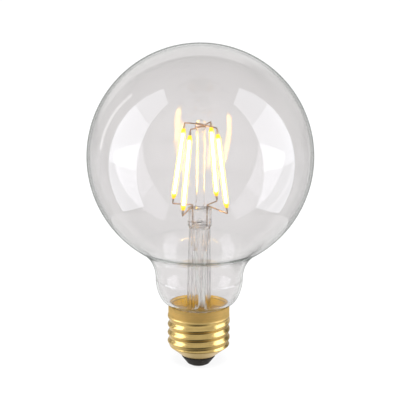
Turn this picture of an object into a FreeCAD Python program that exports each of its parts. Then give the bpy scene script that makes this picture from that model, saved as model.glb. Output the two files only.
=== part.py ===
"""Clear globe bulb with four LED filaments on a glass stem and an Edison screw cap.

The lamp stands on its centre contact with its axis on Z, and the photograph looks along +Y.
Lengths are in millimetres and angles in degrees.
"""
import FreeCAD
import Part

import math
import os

import Sketcher
from FreeCAD import Placement, Rotation, Vector

SIZES = {
    # screw cap, from the centre contact upwards
    "contact_height": "1.1",
    "contact_diameter": "6.6",
    "contact_edge": "0.5",
    "eyelet_diameter": "4.0",
    "eyelet_bore": "1.2",
    "eyelet_floor": "0.6",
    "insulator_height": "3.8",
    "insulator_foot_diameter": "9.8",
    "insulator_plug": "1.6",
    "insulator_round": "0.7",
    "cone_mouth_diameter": "14.2",
    "cone_height": "4.8",
    "thread_diameter": "26.4",
    "thread_length": "12.7",
    "collar_diameter": "25.8",
    "collar_height": "4.8",
    "collar_step": "0.6",
    "shell_wall": "0.3",
    "cement_wall": "0.65",
    # blown glass envelope
    "globe_diameter": "95.0",
    "glass_wall": "0.9",
    "neck_diameter": "36.7",
    "neck_fillet": "15.0",
    "barrel_radius": "17.5",
    "barrel_angle": "27.0",
    "corner_radius": "7.5",
    "root_radius": "1.2",
    "rim_gap": "0.25",
    "spigot_depth": "6.0",
    # pressed glass stem
    "stem_wall": "0.9",
    "stem_length": "41.7",
    "stem_foot_diameter": "10.3",
    "stem_top_diameter": "9.2",
    "stem_shoulder": "1.6",
    "stem_crown": "2.2",
    "flare_gap": "0.3",
    "press_width": "8.2",
    "press_depth": "5.0",
    "press_height": "6.8",
    "press_end_radius": "3.6",
    "press_round": "0.5",
    "vent_diameter": "2.6",
    "vent_height": "0.9",
    "exhaust_diameter": "3.0",
    "exhaust_wall": "0.5",
    "exhaust_tail": "2.7",
    # support rod and its wires
    "rod_diameter": "3.8",
    "rod_socket": "2.0",
    "bead_diameter": "5.0",
    "wire_diameter": "0.6",
    "wire_bend": "0.45",
    "wire_stub": "0.9",
    "wire_clearance": "0.06",
    "lead_spacing": "6.0",
    "lead_rise": "0.9",
    "lead_gather": "7.0",
    "lead_part": "27.0",
    "lead_spread": "3.5",
    "left_gather_angle": "-78.0",
    "left_part_angle": "-125.0",
    "right_gather_angle": "-48.0",
    "right_part_angle": "-40.0",
    "branch_depth": "2.5",
    "sleeve_diameter": "1.2",
    "sleeve_tail_share": "0.2",
    "sleeve_head_share": "0.3",
    # four filaments
    "filament_length": "31.4",
    "filament_diameter": "2.1",
    "filament_tip": "1.6",
    "filament_tip_diameter": "1.5",
    "filament_lift": "1.9",
    "filament_top_radius": "8.3",
    "filament_foot_radius": "13.2",
    "filament_angle": "58.0",
    "strip_width": "1.0",
    "strip_depth": "0.4",
    "pin_length": "3.1",
    "pin_reach": "1.6",
    # driver inside the cap
    "board_width": "14.0",
    "board_depth": "1.0",
    "board_height": "11.5",
    "board_offset": "3.0",
    "pad_inset": "1.8",
    "pad_drop": "1.1",
    "capacitor_diameter": "6.3",
    "capacitor_height": "8.6",
    "chip_width": "4.9",
    "chip_depth": "1.5",
    "chip_height": "3.9",
    "chip_inset": "1.0",
    "rectifier_width": "4.7",
    "rectifier_depth": "2.5",
    "rectifier_height": "3.8",
    "resistor_diameter": "2.4",
    "resistor_length": "6.0",
    "resistor_gap": "0.4",
    "resistor_lead": "0.7",
    "resistor_rise": "2.7",
    "resistor_loop": "0.9",
    "shell_wire_jog": "1.5",
}

# two levels closer than this are the same level
SAME_LEVEL = 1e-6

DERIVED = {
    # levels of the cap
    "insulator_top": "Sizes.contact_height + Sizes.insulator_height",
    "plug_top": "Derived.insulator_top + Sizes.insulator_plug",
    "thread_foot": "Derived.insulator_top + Sizes.cone_height",
    "thread_top": "Derived.thread_foot + Sizes.thread_length",
    "collar_foot": "Derived.thread_top + Sizes.collar_step",
    "rim": "Derived.thread_top + Sizes.collar_height",
    # radii of the cap
    "contact_radius": "Sizes.contact_diameter / 2",
    "contact_dome": "(Derived.contact_radius ^ 2 + Sizes.contact_edge ^ 2) / (2 * Sizes.contact_edge)",
    "eyelet_radius": "Sizes.eyelet_diameter / 2",
    "eyelet_bore_radius": "Sizes.eyelet_bore / 2",
    "insulator_foot_radius": "Sizes.insulator_foot_diameter / 2",
    "insulator_flat": "Derived.insulator_foot_radius - Sizes.insulator_round",
    "insulator_foot": "Sizes.contact_height + Sizes.insulator_round",
    "mouth_radius": "Sizes.cone_mouth_diameter / 2",
    "mouth_bore": "Derived.mouth_radius - Sizes.shell_wall",
    "thread_radius": "Sizes.thread_diameter / 2",
    "thread_bore": "Derived.thread_radius - Sizes.shell_wall",
    "plug_radius": "Derived.mouth_bore + Sizes.insulator_plug"
                   " * (Derived.thread_bore - Derived.mouth_bore) / Sizes.cone_height",
    "collar_radius": "Sizes.collar_diameter / 2",
    "collar_bore": "Derived.collar_radius - Sizes.shell_wall",
    # envelope: globe, concave fillet, barrel, corner and root, each tangent to the next
    "globe_radius": "Sizes.globe_diameter / 2",
    "neck_radius": "Sizes.neck_diameter / 2",
    "spigot_radius": "Derived.collar_bore - Sizes.cement_wall",
    "spigot_bore": "Derived.spigot_radius - Sizes.glass_wall",
    "globe_bore": "Derived.globe_radius - Sizes.glass_wall",
    "neck_bore": "Derived.neck_radius - Sizes.glass_wall",
    "fillet_inside": "Sizes.neck_fillet + Sizes.glass_wall",
    "barrel_inside": "Sizes.barrel_radius - Sizes.glass_wall",
    "corner_inside": "Sizes.corner_radius - Sizes.glass_wall",
    "root_inside": "Sizes.root_radius + Sizes.glass_wall",
    "corner_axis": "Derived.neck_radius - Sizes.barrel_radius"
                   " + (Sizes.barrel_radius - Sizes.corner_radius) * cos(Sizes.barrel_angle)",
    "seat_cos": "(Derived.spigot_radius + Sizes.root_radius - Derived.corner_axis)"
                " / (Sizes.corner_radius + Sizes.root_radius)",
    "seat_sin": "sqrt(1 - Derived.seat_cos ^ 2)",
    "seat": "Derived.rim + Sizes.rim_gap",
    "seat_radius": "Derived.corner_axis + Sizes.corner_radius * Derived.seat_cos",
    "corner_level": "Derived.seat + Sizes.corner_radius * Derived.seat_sin",
    "root": "Derived.seat - Sizes.root_radius * Derived.seat_sin",
    "seal": "Derived.rim - Sizes.spigot_depth",
    "barrel_foot_radius": "Derived.corner_axis + Sizes.corner_radius * cos(Sizes.barrel_angle)",
    "barrel_foot": "Derived.corner_level - Sizes.corner_radius * sin(Sizes.barrel_angle)",
    "neck": "Derived.corner_level + (Sizes.barrel_radius - Sizes.corner_radius) * sin(Sizes.barrel_angle)",
    "fillet_axis": "Derived.neck_radius + Sizes.neck_fillet",
    "fillet_reach": "Derived.globe_radius + Sizes.neck_fillet",
    "fillet_rise": "sqrt(Derived.fillet_reach ^ 2 - Derived.fillet_axis ^ 2)",
    "globe_level": "Derived.neck + Derived.fillet_rise",
    "globe_top": "Derived.globe_level + Derived.globe_radius",
    "globe_foot_radius": "Derived.globe_radius * Derived.fillet_axis / Derived.fillet_reach",
    "globe_foot": "Derived.globe_level - Derived.globe_radius * Derived.fillet_rise / Derived.fillet_reach",
    "inner_top": "Derived.globe_top - Sizes.glass_wall",
    "inner_foot_radius": "Derived.globe_bore * Derived.fillet_axis / Derived.fillet_reach",
    "inner_foot": "Derived.globe_level - Derived.globe_bore * Derived.fillet_rise / Derived.fillet_reach",
    "inner_barrel_radius": "Derived.corner_axis + Derived.corner_inside * cos(Sizes.barrel_angle)",
    "inner_barrel": "Derived.corner_level - Derived.corner_inside * sin(Sizes.barrel_angle)",
    "inner_seat_radius": "Derived.corner_axis + Derived.corner_inside * Derived.seat_cos",
    "inner_seat": "Derived.corner_level - Derived.corner_inside * Derived.seat_sin",
    # stem, from the seal upwards
    "stem_foot_radius": "Sizes.stem_foot_diameter / 2",
    "stem_top_radius": "Sizes.stem_top_diameter / 2",
    "bore_foot_radius": "Derived.stem_foot_radius - Sizes.stem_wall",
    "bore_top_radius": "Derived.stem_top_radius - Sizes.stem_wall",
    "flare_radius": "Derived.spigot_bore - Sizes.flare_gap - Derived.stem_foot_radius",
    "flare_inside": "Derived.flare_radius + Sizes.stem_wall",
    "flare_edge": "Derived.stem_foot_radius + Derived.flare_radius",
    "flare_top": "Derived.seal + Derived.flare_radius",
    "flange_under": "Derived.seal - Sizes.stem_wall",
    "stem_top": "Derived.seal + Sizes.stem_length",
    "shoulder_foot": "Derived.stem_top - Sizes.stem_shoulder",
    "shoulder_radius": "Derived.stem_top_radius - Sizes.stem_shoulder",
    "bore_top": "Derived.stem_top - Sizes.stem_crown",
    "press_foot": "Derived.stem_top - Sizes.stem_crown / 2",
    "press_top": "Derived.stem_top + Sizes.press_height",
    "press_length": "Derived.press_top - Derived.press_foot",
    "press_half_width": "Sizes.press_width / 2",
    "press_half_depth": "Sizes.press_depth / 2",
    "vent_radius": "Sizes.vent_diameter / 2",
    "channel_depth": "Derived.vent_level - Derived.bore_top",
    "vent_level": "Derived.stem_top + Sizes.vent_height",
    # exhaust tube
    "exhaust_radius": "Sizes.exhaust_diameter / 2",
    "exhaust_bore": "Derived.exhaust_radius - Sizes.exhaust_wall",
    "exhaust_tip": "Derived.seal - Sizes.exhaust_tail",
    "exhaust_round": "Derived.exhaust_tip + Derived.exhaust_radius",
    "exhaust_floor": "Derived.exhaust_tip + Sizes.exhaust_wall",
    # filaments and rod
    "wire_radius": "Sizes.wire_diameter / 2",
    "filament_foot": "Derived.press_top + Sizes.filament_lift",
    "filament_rise": "sqrt(Sizes.filament_length ^ 2"
                     " - (Sizes.filament_foot_radius - Sizes.filament_top_radius) ^ 2)",
    "bead_level": "Derived.filament_foot + Derived.filament_rise * (1"
                  " + (Sizes.pin_reach + Sizes.wire_stub) / Sizes.filament_length)",
    "rod_radius": "Sizes.rod_diameter / 2",
    "rod_foot": "Derived.press_top - Sizes.rod_socket",
    "bead_radius": "Sizes.bead_diameter / 2",
    "bead_foot": "Derived.bead_level - sqrt(Derived.bead_radius ^ 2 - Derived.rod_radius ^ 2)",
    "rod_top": "Derived.bead_level + Derived.bead_radius",
    "wire_hole_radius": "Derived.wire_radius + Sizes.wire_clearance",
    "lower_wire": "Derived.bead_level - Derived.wire_radius - Sizes.wire_clearance",
    "upper_wire": "Derived.bead_level + Derived.wire_radius + Sizes.wire_clearance",
    "filament_radius": "Sizes.filament_diameter / 2",
    "filament_tip_radius": "Sizes.filament_tip_diameter / 2",
    "filament_core": "Sizes.filament_length - 2 * Sizes.filament_tip",
    "strip_length": "Sizes.filament_length - 2 * (Sizes.pin_length - Sizes.pin_reach)",
    "lead_x": "Sizes.lead_spacing / 2",
    "branch_y": "Sizes.wire_diameter + Sizes.wire_clearance",
    "sleeve_radius": "Sizes.sleeve_diameter / 2",
    # driver
    "capacitor_radius": "Sizes.capacitor_diameter / 2",
    "resistor_radius": "Sizes.resistor_diameter / 2",
    "resistor_lead_radius": "Sizes.resistor_lead / 2",
}


def make_sheet(doc):
    """Writes the driving sizes into a sheet, one aliased cell each."""
    sheet = doc.addObject("Spreadsheet::Sheet", "Sizes")
    for row, (alias, text) in enumerate(SIZES.items(), start=1):
        sheet.set(f"A{row}", alias)
        sheet.set(f"B{row}", text)
        sheet.setAlias(f"B{row}", alias)
    doc.recompute()
    return sheet


def make_derived(doc):
    """Works out levels and radii from the sheet, in a set of variables bound to it."""
    variables = doc.addObject("App::VarSet", "Derived")
    for name, formula in DERIVED.items():
        variables.addProperty("App::PropertyFloat", name)
        variables.setExpression(name, formula)
    doc.recompute()
    return variables


document = FreeCAD.newDocument("globe_bulb")
sizes = make_sheet(document)
derived = make_derived(document)
subparts = []


def value(name):
    """A size by its name, from the sheet or worked out from it; None is zero, a minus turns it."""
    if name is None:
        return 0.0
    if name.startswith("-"):
        return -value(name[1:])
    return float(sizes.get(name)) if name in SIZES else float(getattr(derived, name))


def formula(name):
    """The expression that reads a size by its name."""
    return f"Sizes.{name}" if name in SIZES else f"Derived.{name}"


def bind(thing, **names):
    """Binds properties of a document object to named sizes."""
    for prop, name in names.items():
        thing.setExpression(prop, formula(name))
    return thing


def named(thing, label):
    """Keeps a finished document object as the sub-part with this label."""
    thing.Label = label
    subparts.append(thing)
    return thing


def new_body(label):
    return named(document.addObject("PartDesign::Body", f"{label}_body"), label)


def new_sketch(body, name, role="XZ_Plane", height=None):
    """A sketch on an origin plane of its body, or on the plane at a named height above it."""
    plane = next(item for item in body.Origin.OriginFeatures if item.Role == role)
    sketch = body.newObject("Sketcher::SketchObject", name)
    sketch.AttachmentSupport = [(plane, "")]
    sketch.MapMode = "FlatFace"
    if height:
        sketch.setExpression("AttachmentOffset.Base.z", formula(height))
    return sketch


def add_dimension(sketch, name, kind, *place):
    """Adds a dimension to a sketch and binds it to a named size."""
    index = sketch.addConstraint(Sketcher.Constraint(kind, *place, value(name)))
    sketch.setExpression(f"Constraints[{index}]", formula(name))


def pin_point(sketch, geometry, end, across, along):
    """Holds a sketch point at named distances from the origin; None puts it on the axis."""
    for kind, axis, name in (("DistanceX", -2, across), ("DistanceY", -1, along)):
        if name is None:
            sketch.addConstraint(Sketcher.Constraint("PointOnObject", geometry, end, axis))
        elif name.startswith("-"):
            add_dimension(sketch, name[1:], kind, geometry, end, -1, 1)
        else:
            add_dimension(sketch, name, kind, -1, 1, geometry, end)


def arc_between(first, last, radius, turn):
    """The short arc from first to last; turn is 1 where it bends left and -1 where it bends right."""
    chord = last - first
    middle = (first + last) * 0.5
    reach = (radius ** 2 - (chord.Length / 2) ** 2) ** 0.5
    left = Vector(-chord.y, chord.x, 0).normalize()
    bulge = middle - left * turn * (radius - reach)
    return Part.Arc(first, bulge, last)


def draw_outline(sketch, corners, arcs):
    """Draws a closed outline through named corners; arcs gives a side's (radius name, turn)."""
    points = [Vector(value(across), value(along), 0) for across, along in corners]
    sides = []
    for index, first in enumerate(points):
        last = points[(index + 1) % len(points)]
        name, turn = arcs.get(index, (None, 1))
        curve = arc_between(first, last, value(name), turn) if name else Part.LineSegment(first, last)
        side = sketch.addGeometry(curve)
        if name:
            add_dimension(sketch, name, "Radius", side)
        sides.append((side, 1, 2) if turn > 0 else (side, 2, 1))
    for index, (side, start, end) in enumerate(sides):
        following, begin, _ = sides[(index + 1) % len(sides)]
        sketch.addConstraint(Sketcher.Constraint("Coincident", side, end, following, begin))
        pin_point(sketch, side, start, *corners[index])


def draw_circles(sketch, radius, centres):
    """Draws circles of a named radius about named centres."""
    for across, along in centres:
        middle = Vector(value(across), value(along), 0)
        ring = sketch.addGeometry(Part.Circle(middle, Vector(0, 0, 1), value(radius)))
        add_dimension(sketch, radius, "Radius", ring)
        pin_point(sketch, ring, 3, across, along)


def revolve(body, corners, arcs=None):
    """Turns a closed outline of (radius, height) names about the lamp's axis."""
    sketch = new_sketch(body, f"{body.Label}_profile")
    draw_outline(sketch, corners, arcs or {})
    turned = body.newObject("PartDesign::Revolution", f"{body.Label}_turned")
    turned.Profile = sketch
    turned.ReferenceAxis = (sketch, ["V_Axis"])
    turned.Angle = 360
    body.Tip = turned
    document.recompute()


def pocket(body, sketch, depth=None, reverse=False, both=False):
    """Cuts a sketch out of its body, to a named depth or right through."""
    before = body.Tip.Shape.Volume
    cut = body.newObject("PartDesign::Pocket", f"{sketch.Name}_cut")
    cut.Profile = sketch
    cut.Reversed = reverse
    cut.Midplane = both
    cut.Type = "Length" if depth else "ThroughAll"
    if depth:
        bind(cut, Length=depth)
    body.Tip = cut
    document.recompute()
    if cut.Shape.Volume >= before:
        raise RuntimeError(f"{sketch.Name} cuts nothing")


def make_cap():
    """The screw shell, its insulator, the riveted contact and the cement under the glass."""
    revolve(new_body("cap_shell"), [
        ("mouth_bore", "insulator_top"),
        ("mouth_radius", "insulator_top"),
        ("thread_radius", "thread_foot"),
        ("thread_radius", "thread_top"),
        ("collar_radius", "collar_foot"),
        ("collar_radius", "rim"),
        ("collar_bore", "rim"),
        ("collar_bore", "collar_foot"),
        ("thread_bore", "thread_top"),
        ("thread_bore", "thread_foot"),
    ])
    revolve(new_body("cap_insulator"), [
        ("eyelet_radius", "contact_height"),
        ("insulator_flat", "contact_height"),
        ("insulator_foot_radius", "insulator_foot"),
        ("mouth_radius", "insulator_top"),
        ("mouth_bore", "insulator_top"),
        ("plug_radius", "plug_top"),
        ("eyelet_radius", "plug_top"),
    ], {1: ("insulator_round", 1)})
    revolve(new_body("centre_contact"), [
        (None, None),
        ("contact_radius", "contact_edge"),
        ("contact_radius", "contact_height"),
        ("eyelet_radius", "contact_height"),
        ("eyelet_radius", "plug_top"),
        ("eyelet_bore_radius", "plug_top"),
        ("eyelet_bore_radius", "eyelet_floor"),
        (None, "eyelet_floor"),
    ], {0: ("contact_dome", 1)})
    revolve(new_body("cap_cement"), [
        ("spigot_radius", "collar_foot"),
        ("collar_bore", "collar_foot"),
        ("collar_bore", "root"),
        ("spigot_radius", "root"),
    ])


def make_envelope():
    """The blown globe, necked down to the spigot that is cemented into the cap."""
    revolve(new_body("glass_envelope"), [
        ("spigot_radius", "seal"),
        ("spigot_radius", "root"),
        ("seat_radius", "seat"),
        ("barrel_foot_radius", "barrel_foot"),
        ("neck_radius", "neck"),
        ("globe_foot_radius", "globe_foot"),
        (None, "globe_top"),
        (None, "inner_top"),
        ("inner_foot_radius", "inner_foot"),
        ("neck_bore", "neck"),
        ("inner_barrel_radius", "inner_barrel"),
        ("inner_seat_radius", "inner_seat"),
        ("spigot_bore", "root"),
        ("spigot_bore", "seal"),
    ], {
        1: ("root_radius", -1),
        2: ("corner_radius", 1),
        3: ("barrel_radius", 1),
        4: ("neck_fillet", -1),
        5: ("globe_radius", 1),
        7: ("globe_bore", -1),
        8: ("fillet_inside", 1),
        9: ("barrel_inside", -1),
        10: ("corner_inside", -1),
        11: ("root_inside", 1),
    })


def make_stem():
    """The flared stem tube with its flat press, the vent and the holes for rod and wires."""
    body = new_body("glass_stem")
    revolve(body, [
        ("spigot_radius", "flange_under"),
        ("spigot_radius", "seal"),
        ("flare_edge", "seal"),
        ("stem_foot_radius", "flare_top"),
        ("stem_top_radius", "shoulder_foot"),
        ("shoulder_radius", "stem_top"),
        (None, "stem_top"),
        (None, "bore_top"),
        ("bore_top_radius", "bore_top"),
        ("bore_foot_radius", "flare_top"),
        ("flare_edge", "flange_under"),
    ], {2: ("flare_radius", -1), 4: ("stem_shoulder", 1), 9: ("flare_inside", 1)})
    add_press(body)
    holes = new_sketch(body, "lead_holes", "XY_Plane", "press_top")
    draw_circles(holes, "wire_radius", [("lead_x", None), ("-lead_x", None)])
    pocket(body, holes)
    anchors = new_sketch(body, "branch_holes", "XY_Plane", "press_top")
    draw_circles(anchors, "wire_radius", [("lead_x", "branch_y"), ("-lead_x", "branch_y")])
    pocket(body, anchors, "branch_depth")
    socket = new_sketch(body, "rod_hole", "XY_Plane", "press_top")
    draw_circles(socket, "rod_radius", [(None, None)])
    pocket(body, socket, "rod_socket")
    channel = new_sketch(body, "exhaust_channel", "XY_Plane", "vent_level")
    draw_circles(channel, "exhaust_bore", [(None, None)])
    pocket(body, channel, "channel_depth")
    vent = new_sketch(body, "vent_hole")
    draw_circles(vent, "vent_radius", [(None, "vent_level")])
    pocket(body, vent, "press_depth", reverse=True)


def add_press(body):
    """Pads the flat press onto the crown of the stem and rounds its top edge."""
    slot = new_sketch(body, "press_slot", "XY_Plane", "press_foot")
    draw_outline(slot, [
        ("press_half_width", "press_half_depth"),
        ("-press_half_width", "press_half_depth"),
        ("-press_half_width", "-press_half_depth"),
        ("press_half_width", "-press_half_depth"),
    ], {1: ("press_end_radius", 1), 3: ("press_end_radius", 1)})
    press = body.newObject("PartDesign::Pad", "press")
    press.Profile = slot
    bind(press, Length="press_length")
    body.Tip = press
    document.recompute()
    top = value("press_top")
    rim = [f"Edge{index}" for index, edge in enumerate(press.Shape.Edges, start=1)
           if abs(edge.BoundBox.ZMin - top) < SAME_LEVEL]
    rounded = body.newObject("PartDesign::Fillet", "press_edge")
    rounded.Base = (press, rim)
    bind(rounded, Radius="press_round")
    body.Tip = rounded
    document.recompute()


def make_exhaust_tube():
    """The pumping tube under the press, sealed off to a round tip inside the cap."""
    revolve(new_body("exhaust_tube"), [
        ("exhaust_bore", "bore_top"),
        ("exhaust_bore", "exhaust_round"),
        (None, "exhaust_floor"),
        (None, "exhaust_tip"),
        ("exhaust_radius", "exhaust_round"),
        ("exhaust_radius", "bore_top"),
    ], {1: ("exhaust_bore", -1), 3: ("exhaust_radius", 1)})


def make_support_rod():
    """The glass rod on the press, with a bead that the two top wires cross through."""
    body = new_body("support_rod")
    revolve(body, [
        (None, "rod_foot"),
        ("rod_radius", "rod_foot"),
        ("rod_radius", "bead_foot"),
        (None, "rod_top"),
    ], {2: ("bead_radius", 1)})
    for plane, level in (("YZ_Plane", "lower_wire"), ("XZ_Plane", "upper_wire")):
        hole = new_sketch(body, f"{level}_hole", plane)
        draw_circles(hole, "wire_hole_radius", [(None, level)])
        pocket(body, hole, both=True)
    body.Placement = Placement(Vector(), Rotation(Vector(0, 0, 1), value("filament_angle")))


def polar(radius, angle, height):
    """A point at a radius, a bearing from +X and a height."""
    return Rotation(Vector(0, 0, 1), angle).multVec(Vector(radius, 0, height))


def rounded_path(points, bend):
    """A wire through the points with each corner rounded to the bend radius."""
    edges = []
    last = points[0]
    for before, corner, after in zip(points, points[1:], points[2:]):
        back = (before - corner).normalize()
        ahead = (after - corner).normalize()
        half = back.getAngle(ahead) / 2
        reach = bend / math.tan(half)
        inward = (back + ahead).normalize()
        middle = corner + inward * (bend / math.sin(half) - bend)
        edges.append(Part.LineSegment(last, corner + back * reach).toShape())
        edges.append(Part.Arc(corner + back * reach, middle, corner + ahead * reach).toShape())
        last = corner + ahead * reach
    edges.append(Part.LineSegment(last, points[-1]).toShape())
    return Part.Wire(edges)


def sweep_wire(name, points, radius="wire_radius"):
    """A round wire of a named radius swept along the points with rounded bends."""
    path = document.addObject("Part::Feature", f"{name}_path")
    path.Shape = rounded_path(points, value("wire_bend"))
    section = document.addObject("Part::Circle", f"{name}_section")
    bind(section, Radius=radius)
    section.Placement = Placement(points[0], Rotation(Vector(0, 0, 1), points[1] - points[0]))
    wire = document.addObject("Part::Sweep", f"{name}_wire")
    wire.Sections = [section]
    wire.Spine = (path, [f"Edge{index + 1}" for index in range(len(path.Shape.Edges))])
    wire.Solid = True
    document.recompute()
    return wire


def filament_frame(index):
    """Foot, direction and bearing of a filament, numbered round the lamp from the back right."""
    bearing = value("filament_angle") + 90 * index
    foot = polar(value("filament_foot_radius"), bearing, value("filament_foot"))
    top = polar(value("filament_top_radius"), bearing, value("filament_foot") + value("filament_rise"))
    return foot, (top - foot).normalize(), bearing


def pin_end(index, at_top):
    """The end of a filament's pin and the corner of the wire that is welded to it."""
    foot, along, _ = filament_frame(index)
    reach = value("pin_reach")
    stub = reach + value("wire_stub")
    if at_top:
        top = foot + along * value("filament_length")
        return top + along * reach, top + along * stub
    return foot - along * reach, foot - along * stub


def make_filament(index):
    """One filament: the strip that carries the chips, the coating round it and a pin at each end."""
    foot, along, bearing = filament_frame(index)
    tangent = polar(1, bearing + 90, 0)
    turn = Rotation(tangent, Vector(), along, "ZXY")
    length = value("filament_length")
    tip = value("filament_tip")
    label = f"filament_{index + 1}"

    def bar(name, start, size):
        """A bar of the strip's section, from a distance along the filament."""
        half_section = Vector(value("strip_width"), value("strip_depth"), 0) / 2
        corner = foot + along * start - turn.multVec(half_section)
        solid = document.addObject("Part::Box", f"{label}_{name}")
        bind(solid, Length="strip_width", Width="strip_depth", Height=size)
        solid.Placement = Placement(corner, turn)
        return solid

    core = document.addObject("Part::Cylinder", f"{label}_core")
    bind(core, Radius="filament_radius", Height="filament_core")
    core.Placement = Placement(foot + along * tip, turn)
    ends = []
    for end, place, first, second in (
        ("foot", foot, "filament_tip_radius", "filament_radius"),
        ("top", foot + along * (length - tip), "filament_radius", "filament_tip_radius"),
    ):
        cone = document.addObject("Part::Cone", f"{label}_{end}")
        bind(cone, Radius1=first, Radius2=second, Height="filament_tip")
        cone.Placement = Placement(place, turn)
        ends.append(cone)
    whole = document.addObject("Part::MultiFuse", f"{label}_whole")
    whole.Shapes = [core, *ends]
    coating = document.addObject("Part::Cut", f"{label}_cut")
    coating.Base = whole
    coating.Tool = bar("slot", 0, "filament_length")
    named(coating, f"{label}_coating")
    inset = value("pin_length") - value("pin_reach")
    named(bar("carrier", inset, "strip_length"), f"{label}_strip")
    pins = document.addObject("Part::Compound", f"{label}_pair")
    pins.Links = [
        bar("foot_pin", -value("pin_reach"), "pin_length"),
        bar("top_pin", length - inset, "pin_length"),
    ]
    named(pins, f"{label}_pins")


def make_top_wires():
    """Two wires across the bead, each bent down to the pins of two opposite filaments."""
    for label, level, index in (("top_wire_lower", "lower_wire", 0), ("top_wire_upper", "upper_wire", 1)):
        near, near_corner = pin_end(index, True)
        far, far_corner = pin_end(index + 2, True)
        bearing = filament_frame(index)[2]
        reach = value("bead_diameter")
        inner = polar(reach, bearing, value(level))
        outer = polar(reach, bearing + 180, value(level))
        named(sweep_wire(label, [near, near_corner, inner, outer, far_corner, far]), label)


def lead_route(word, side):
    """Corners of a lead from its pad on the board up the stem to just above the press."""
    gap = (value("bore_top_radius") + value("exhaust_radius")) / 2
    pad_x = side * (value("board_width") / 2 - value("pad_inset"))
    pad_z = value("plug_top") + value("board_height") - value("pad_drop")
    return [
        Vector(pad_x, value("board_offset"), pad_z),
        Vector(pad_x, 0, pad_z),
        polar(gap, value(f"{word}_gather_angle"), value("seal") + value("lead_gather")),
        polar(gap, value(f"{word}_part_angle"), value("seal") + value("lead_part")),
        Vector(side * value("lead_x"), 0, value("bore_top") - value("lead_spread")),
        Vector(side * value("lead_x"), 0, value("press_top") + value("lead_rise")),
    ]


def make_leads():
    """Lead and branch wires of each side, and the sleeves round the leads in the stem."""
    for word, side, lead_to, branch_to in (("left", -1, 2, 1), ("right", 1, 3, 0)):
        route = lead_route(word, side)
        end, corner = pin_end(lead_to, False)
        lead = named(sweep_wire(f"lead_{word}", [*route, corner, end]), f"lead_wire_{word}")
        low = route[1] + (route[2] - route[1]) * value("sleeve_tail_share")
        high = route[3] + (route[4] - route[3]) * value("sleeve_head_share")
        cover = sweep_wire(f"sleeve_{word}", [low, route[2], route[3], high], "sleeve_radius")
        sleeve = document.addObject("Part::Cut", f"sleeve_{word}_tube")
        sleeve.Base = cover
        sleeve.Tool = lead
        named(sleeve, f"lead_sleeve_{word}")
        end, corner = pin_end(branch_to, False)
        foot = Vector(side * value("lead_x"), value("branch_y"), value("press_top") - value("branch_depth"))
        bend = foot + Vector(0, 0, value("branch_depth") + value("lead_rise"))
        label = f"branch_wire_{word}"
        named(sweep_wire(label, [foot, bend, corner, end]), label)


def block(label, corner, length, width, height):
    """A named block with named sides, from its lowest corner."""
    solid = document.addObject("Part::Box", f"{label}_block")
    bind(solid, Length=length, Width=width, Height=height)
    solid.Placement = Placement(corner, Rotation())
    return named(solid, label)


def drum(name, foot, radius, height):
    """An upright cylinder with a named radius and height."""
    solid = document.addObject("Part::Cylinder", name)
    bind(solid, Radius=radius, Height=height)
    solid.Placement = Placement(foot, Rotation())
    return solid


def make_driver():
    """The driver board on the insulator, with its components and the wire to the shell."""
    floor = value("plug_top")
    front = value("board_offset")
    back = front + value("board_depth")
    half = value("board_width") / 2
    block("driver_board", Vector(-half, front, floor), "board_width", "board_depth", "board_height")
    can = value("capacitor_radius")
    can_foot = Vector(half - can, front - can, floor)
    named(drum("capacitor_can", can_foot, "capacitor_radius", "capacitor_height"), "smoothing_capacitor")
    chip = Vector(-half + value("chip_inset"), front - value("chip_depth"), floor + value("resistor_rise"))
    block("driver_chip", chip, "chip_width", "chip_depth", "chip_height")
    block("bridge_rectifier", Vector(-value("rectifier_width") / 2, back, chip.z),
          "rectifier_width", "rectifier_depth", "rectifier_height")
    make_resistor(Vector(chip.x + value("chip_width") / 2, chip.y, chip.z))
    make_shell_wire(half, (front + back) / 2)


def make_resistor(chip):
    """The fusible resistor, from the contact's eyelet to the board over the driver chip."""
    radius = value("resistor_radius")
    foot = Vector(chip.x, chip.y - value("resistor_gap") - radius, chip.z)
    top = foot + Vector(0, 0, value("resistor_length"))
    half_rise = value("plug_top") + value("resistor_rise") / 2
    loop = top.z + value("resistor_loop")
    body = drum("resistor_body", foot, "resistor_radius", "resistor_length")
    lower = sweep_wire("resistor_foot", [
        Vector(0, 0, value("eyelet_floor")),
        Vector(0, 0, half_rise),
        Vector(foot.x, foot.y, half_rise),
        foot,
    ], "resistor_lead_radius")
    upper = sweep_wire("resistor_top", [
        top,
        Vector(top.x, top.y, loop),
        Vector(top.x, value("board_offset"), loop),
    ], "resistor_lead_radius")
    whole = document.addObject("Part::MultiFuse", "resistor_whole")
    whole.Shapes = [body, lower, upper]
    named(whole, "fusible_resistor")


def make_shell_wire(edge, depth):
    """The bare wire from the board's edge to the inside of the screw shell."""
    level = value("plug_top") + value("capacitor_height")
    wall = (value("thread_bore") ** 2 - (depth + value("wire_radius")) ** 2) ** 0.5
    middle = (edge + wall) / 2
    rise = level + value("shell_wire_jog")
    named(sweep_wire("shell_lead", [
        Vector(edge, depth, level),
        Vector(middle, depth, level),
        Vector(middle, depth, rise),
        Vector(wall, depth, rise),
    ]), "shell_wire")


def write_parts():
    """Checks every object of the document and writes each sub-part to its own file."""
    document.recompute()
    faulty = [item.Label for item in document.Objects if {"Invalid", "Error"} & set(item.State)]
    if faulty:
        raise RuntimeError(f"objects in error: {faulty}")
    os.makedirs("parts", exist_ok=True)
    for item in subparts:
        if item.Shape.isNull() or not item.Shape.isValid():
            raise RuntimeError(f"{item.Label} has no valid shape")
        item.Shape.exportStep(f"parts/{item.Label}.step")


make_cap()
make_envelope()
make_stem()
make_exhaust_tube()
make_support_rod()
for number in range(4):
    make_filament(number)
make_top_wires()
make_leads()
make_driver()
write_parts()
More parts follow.
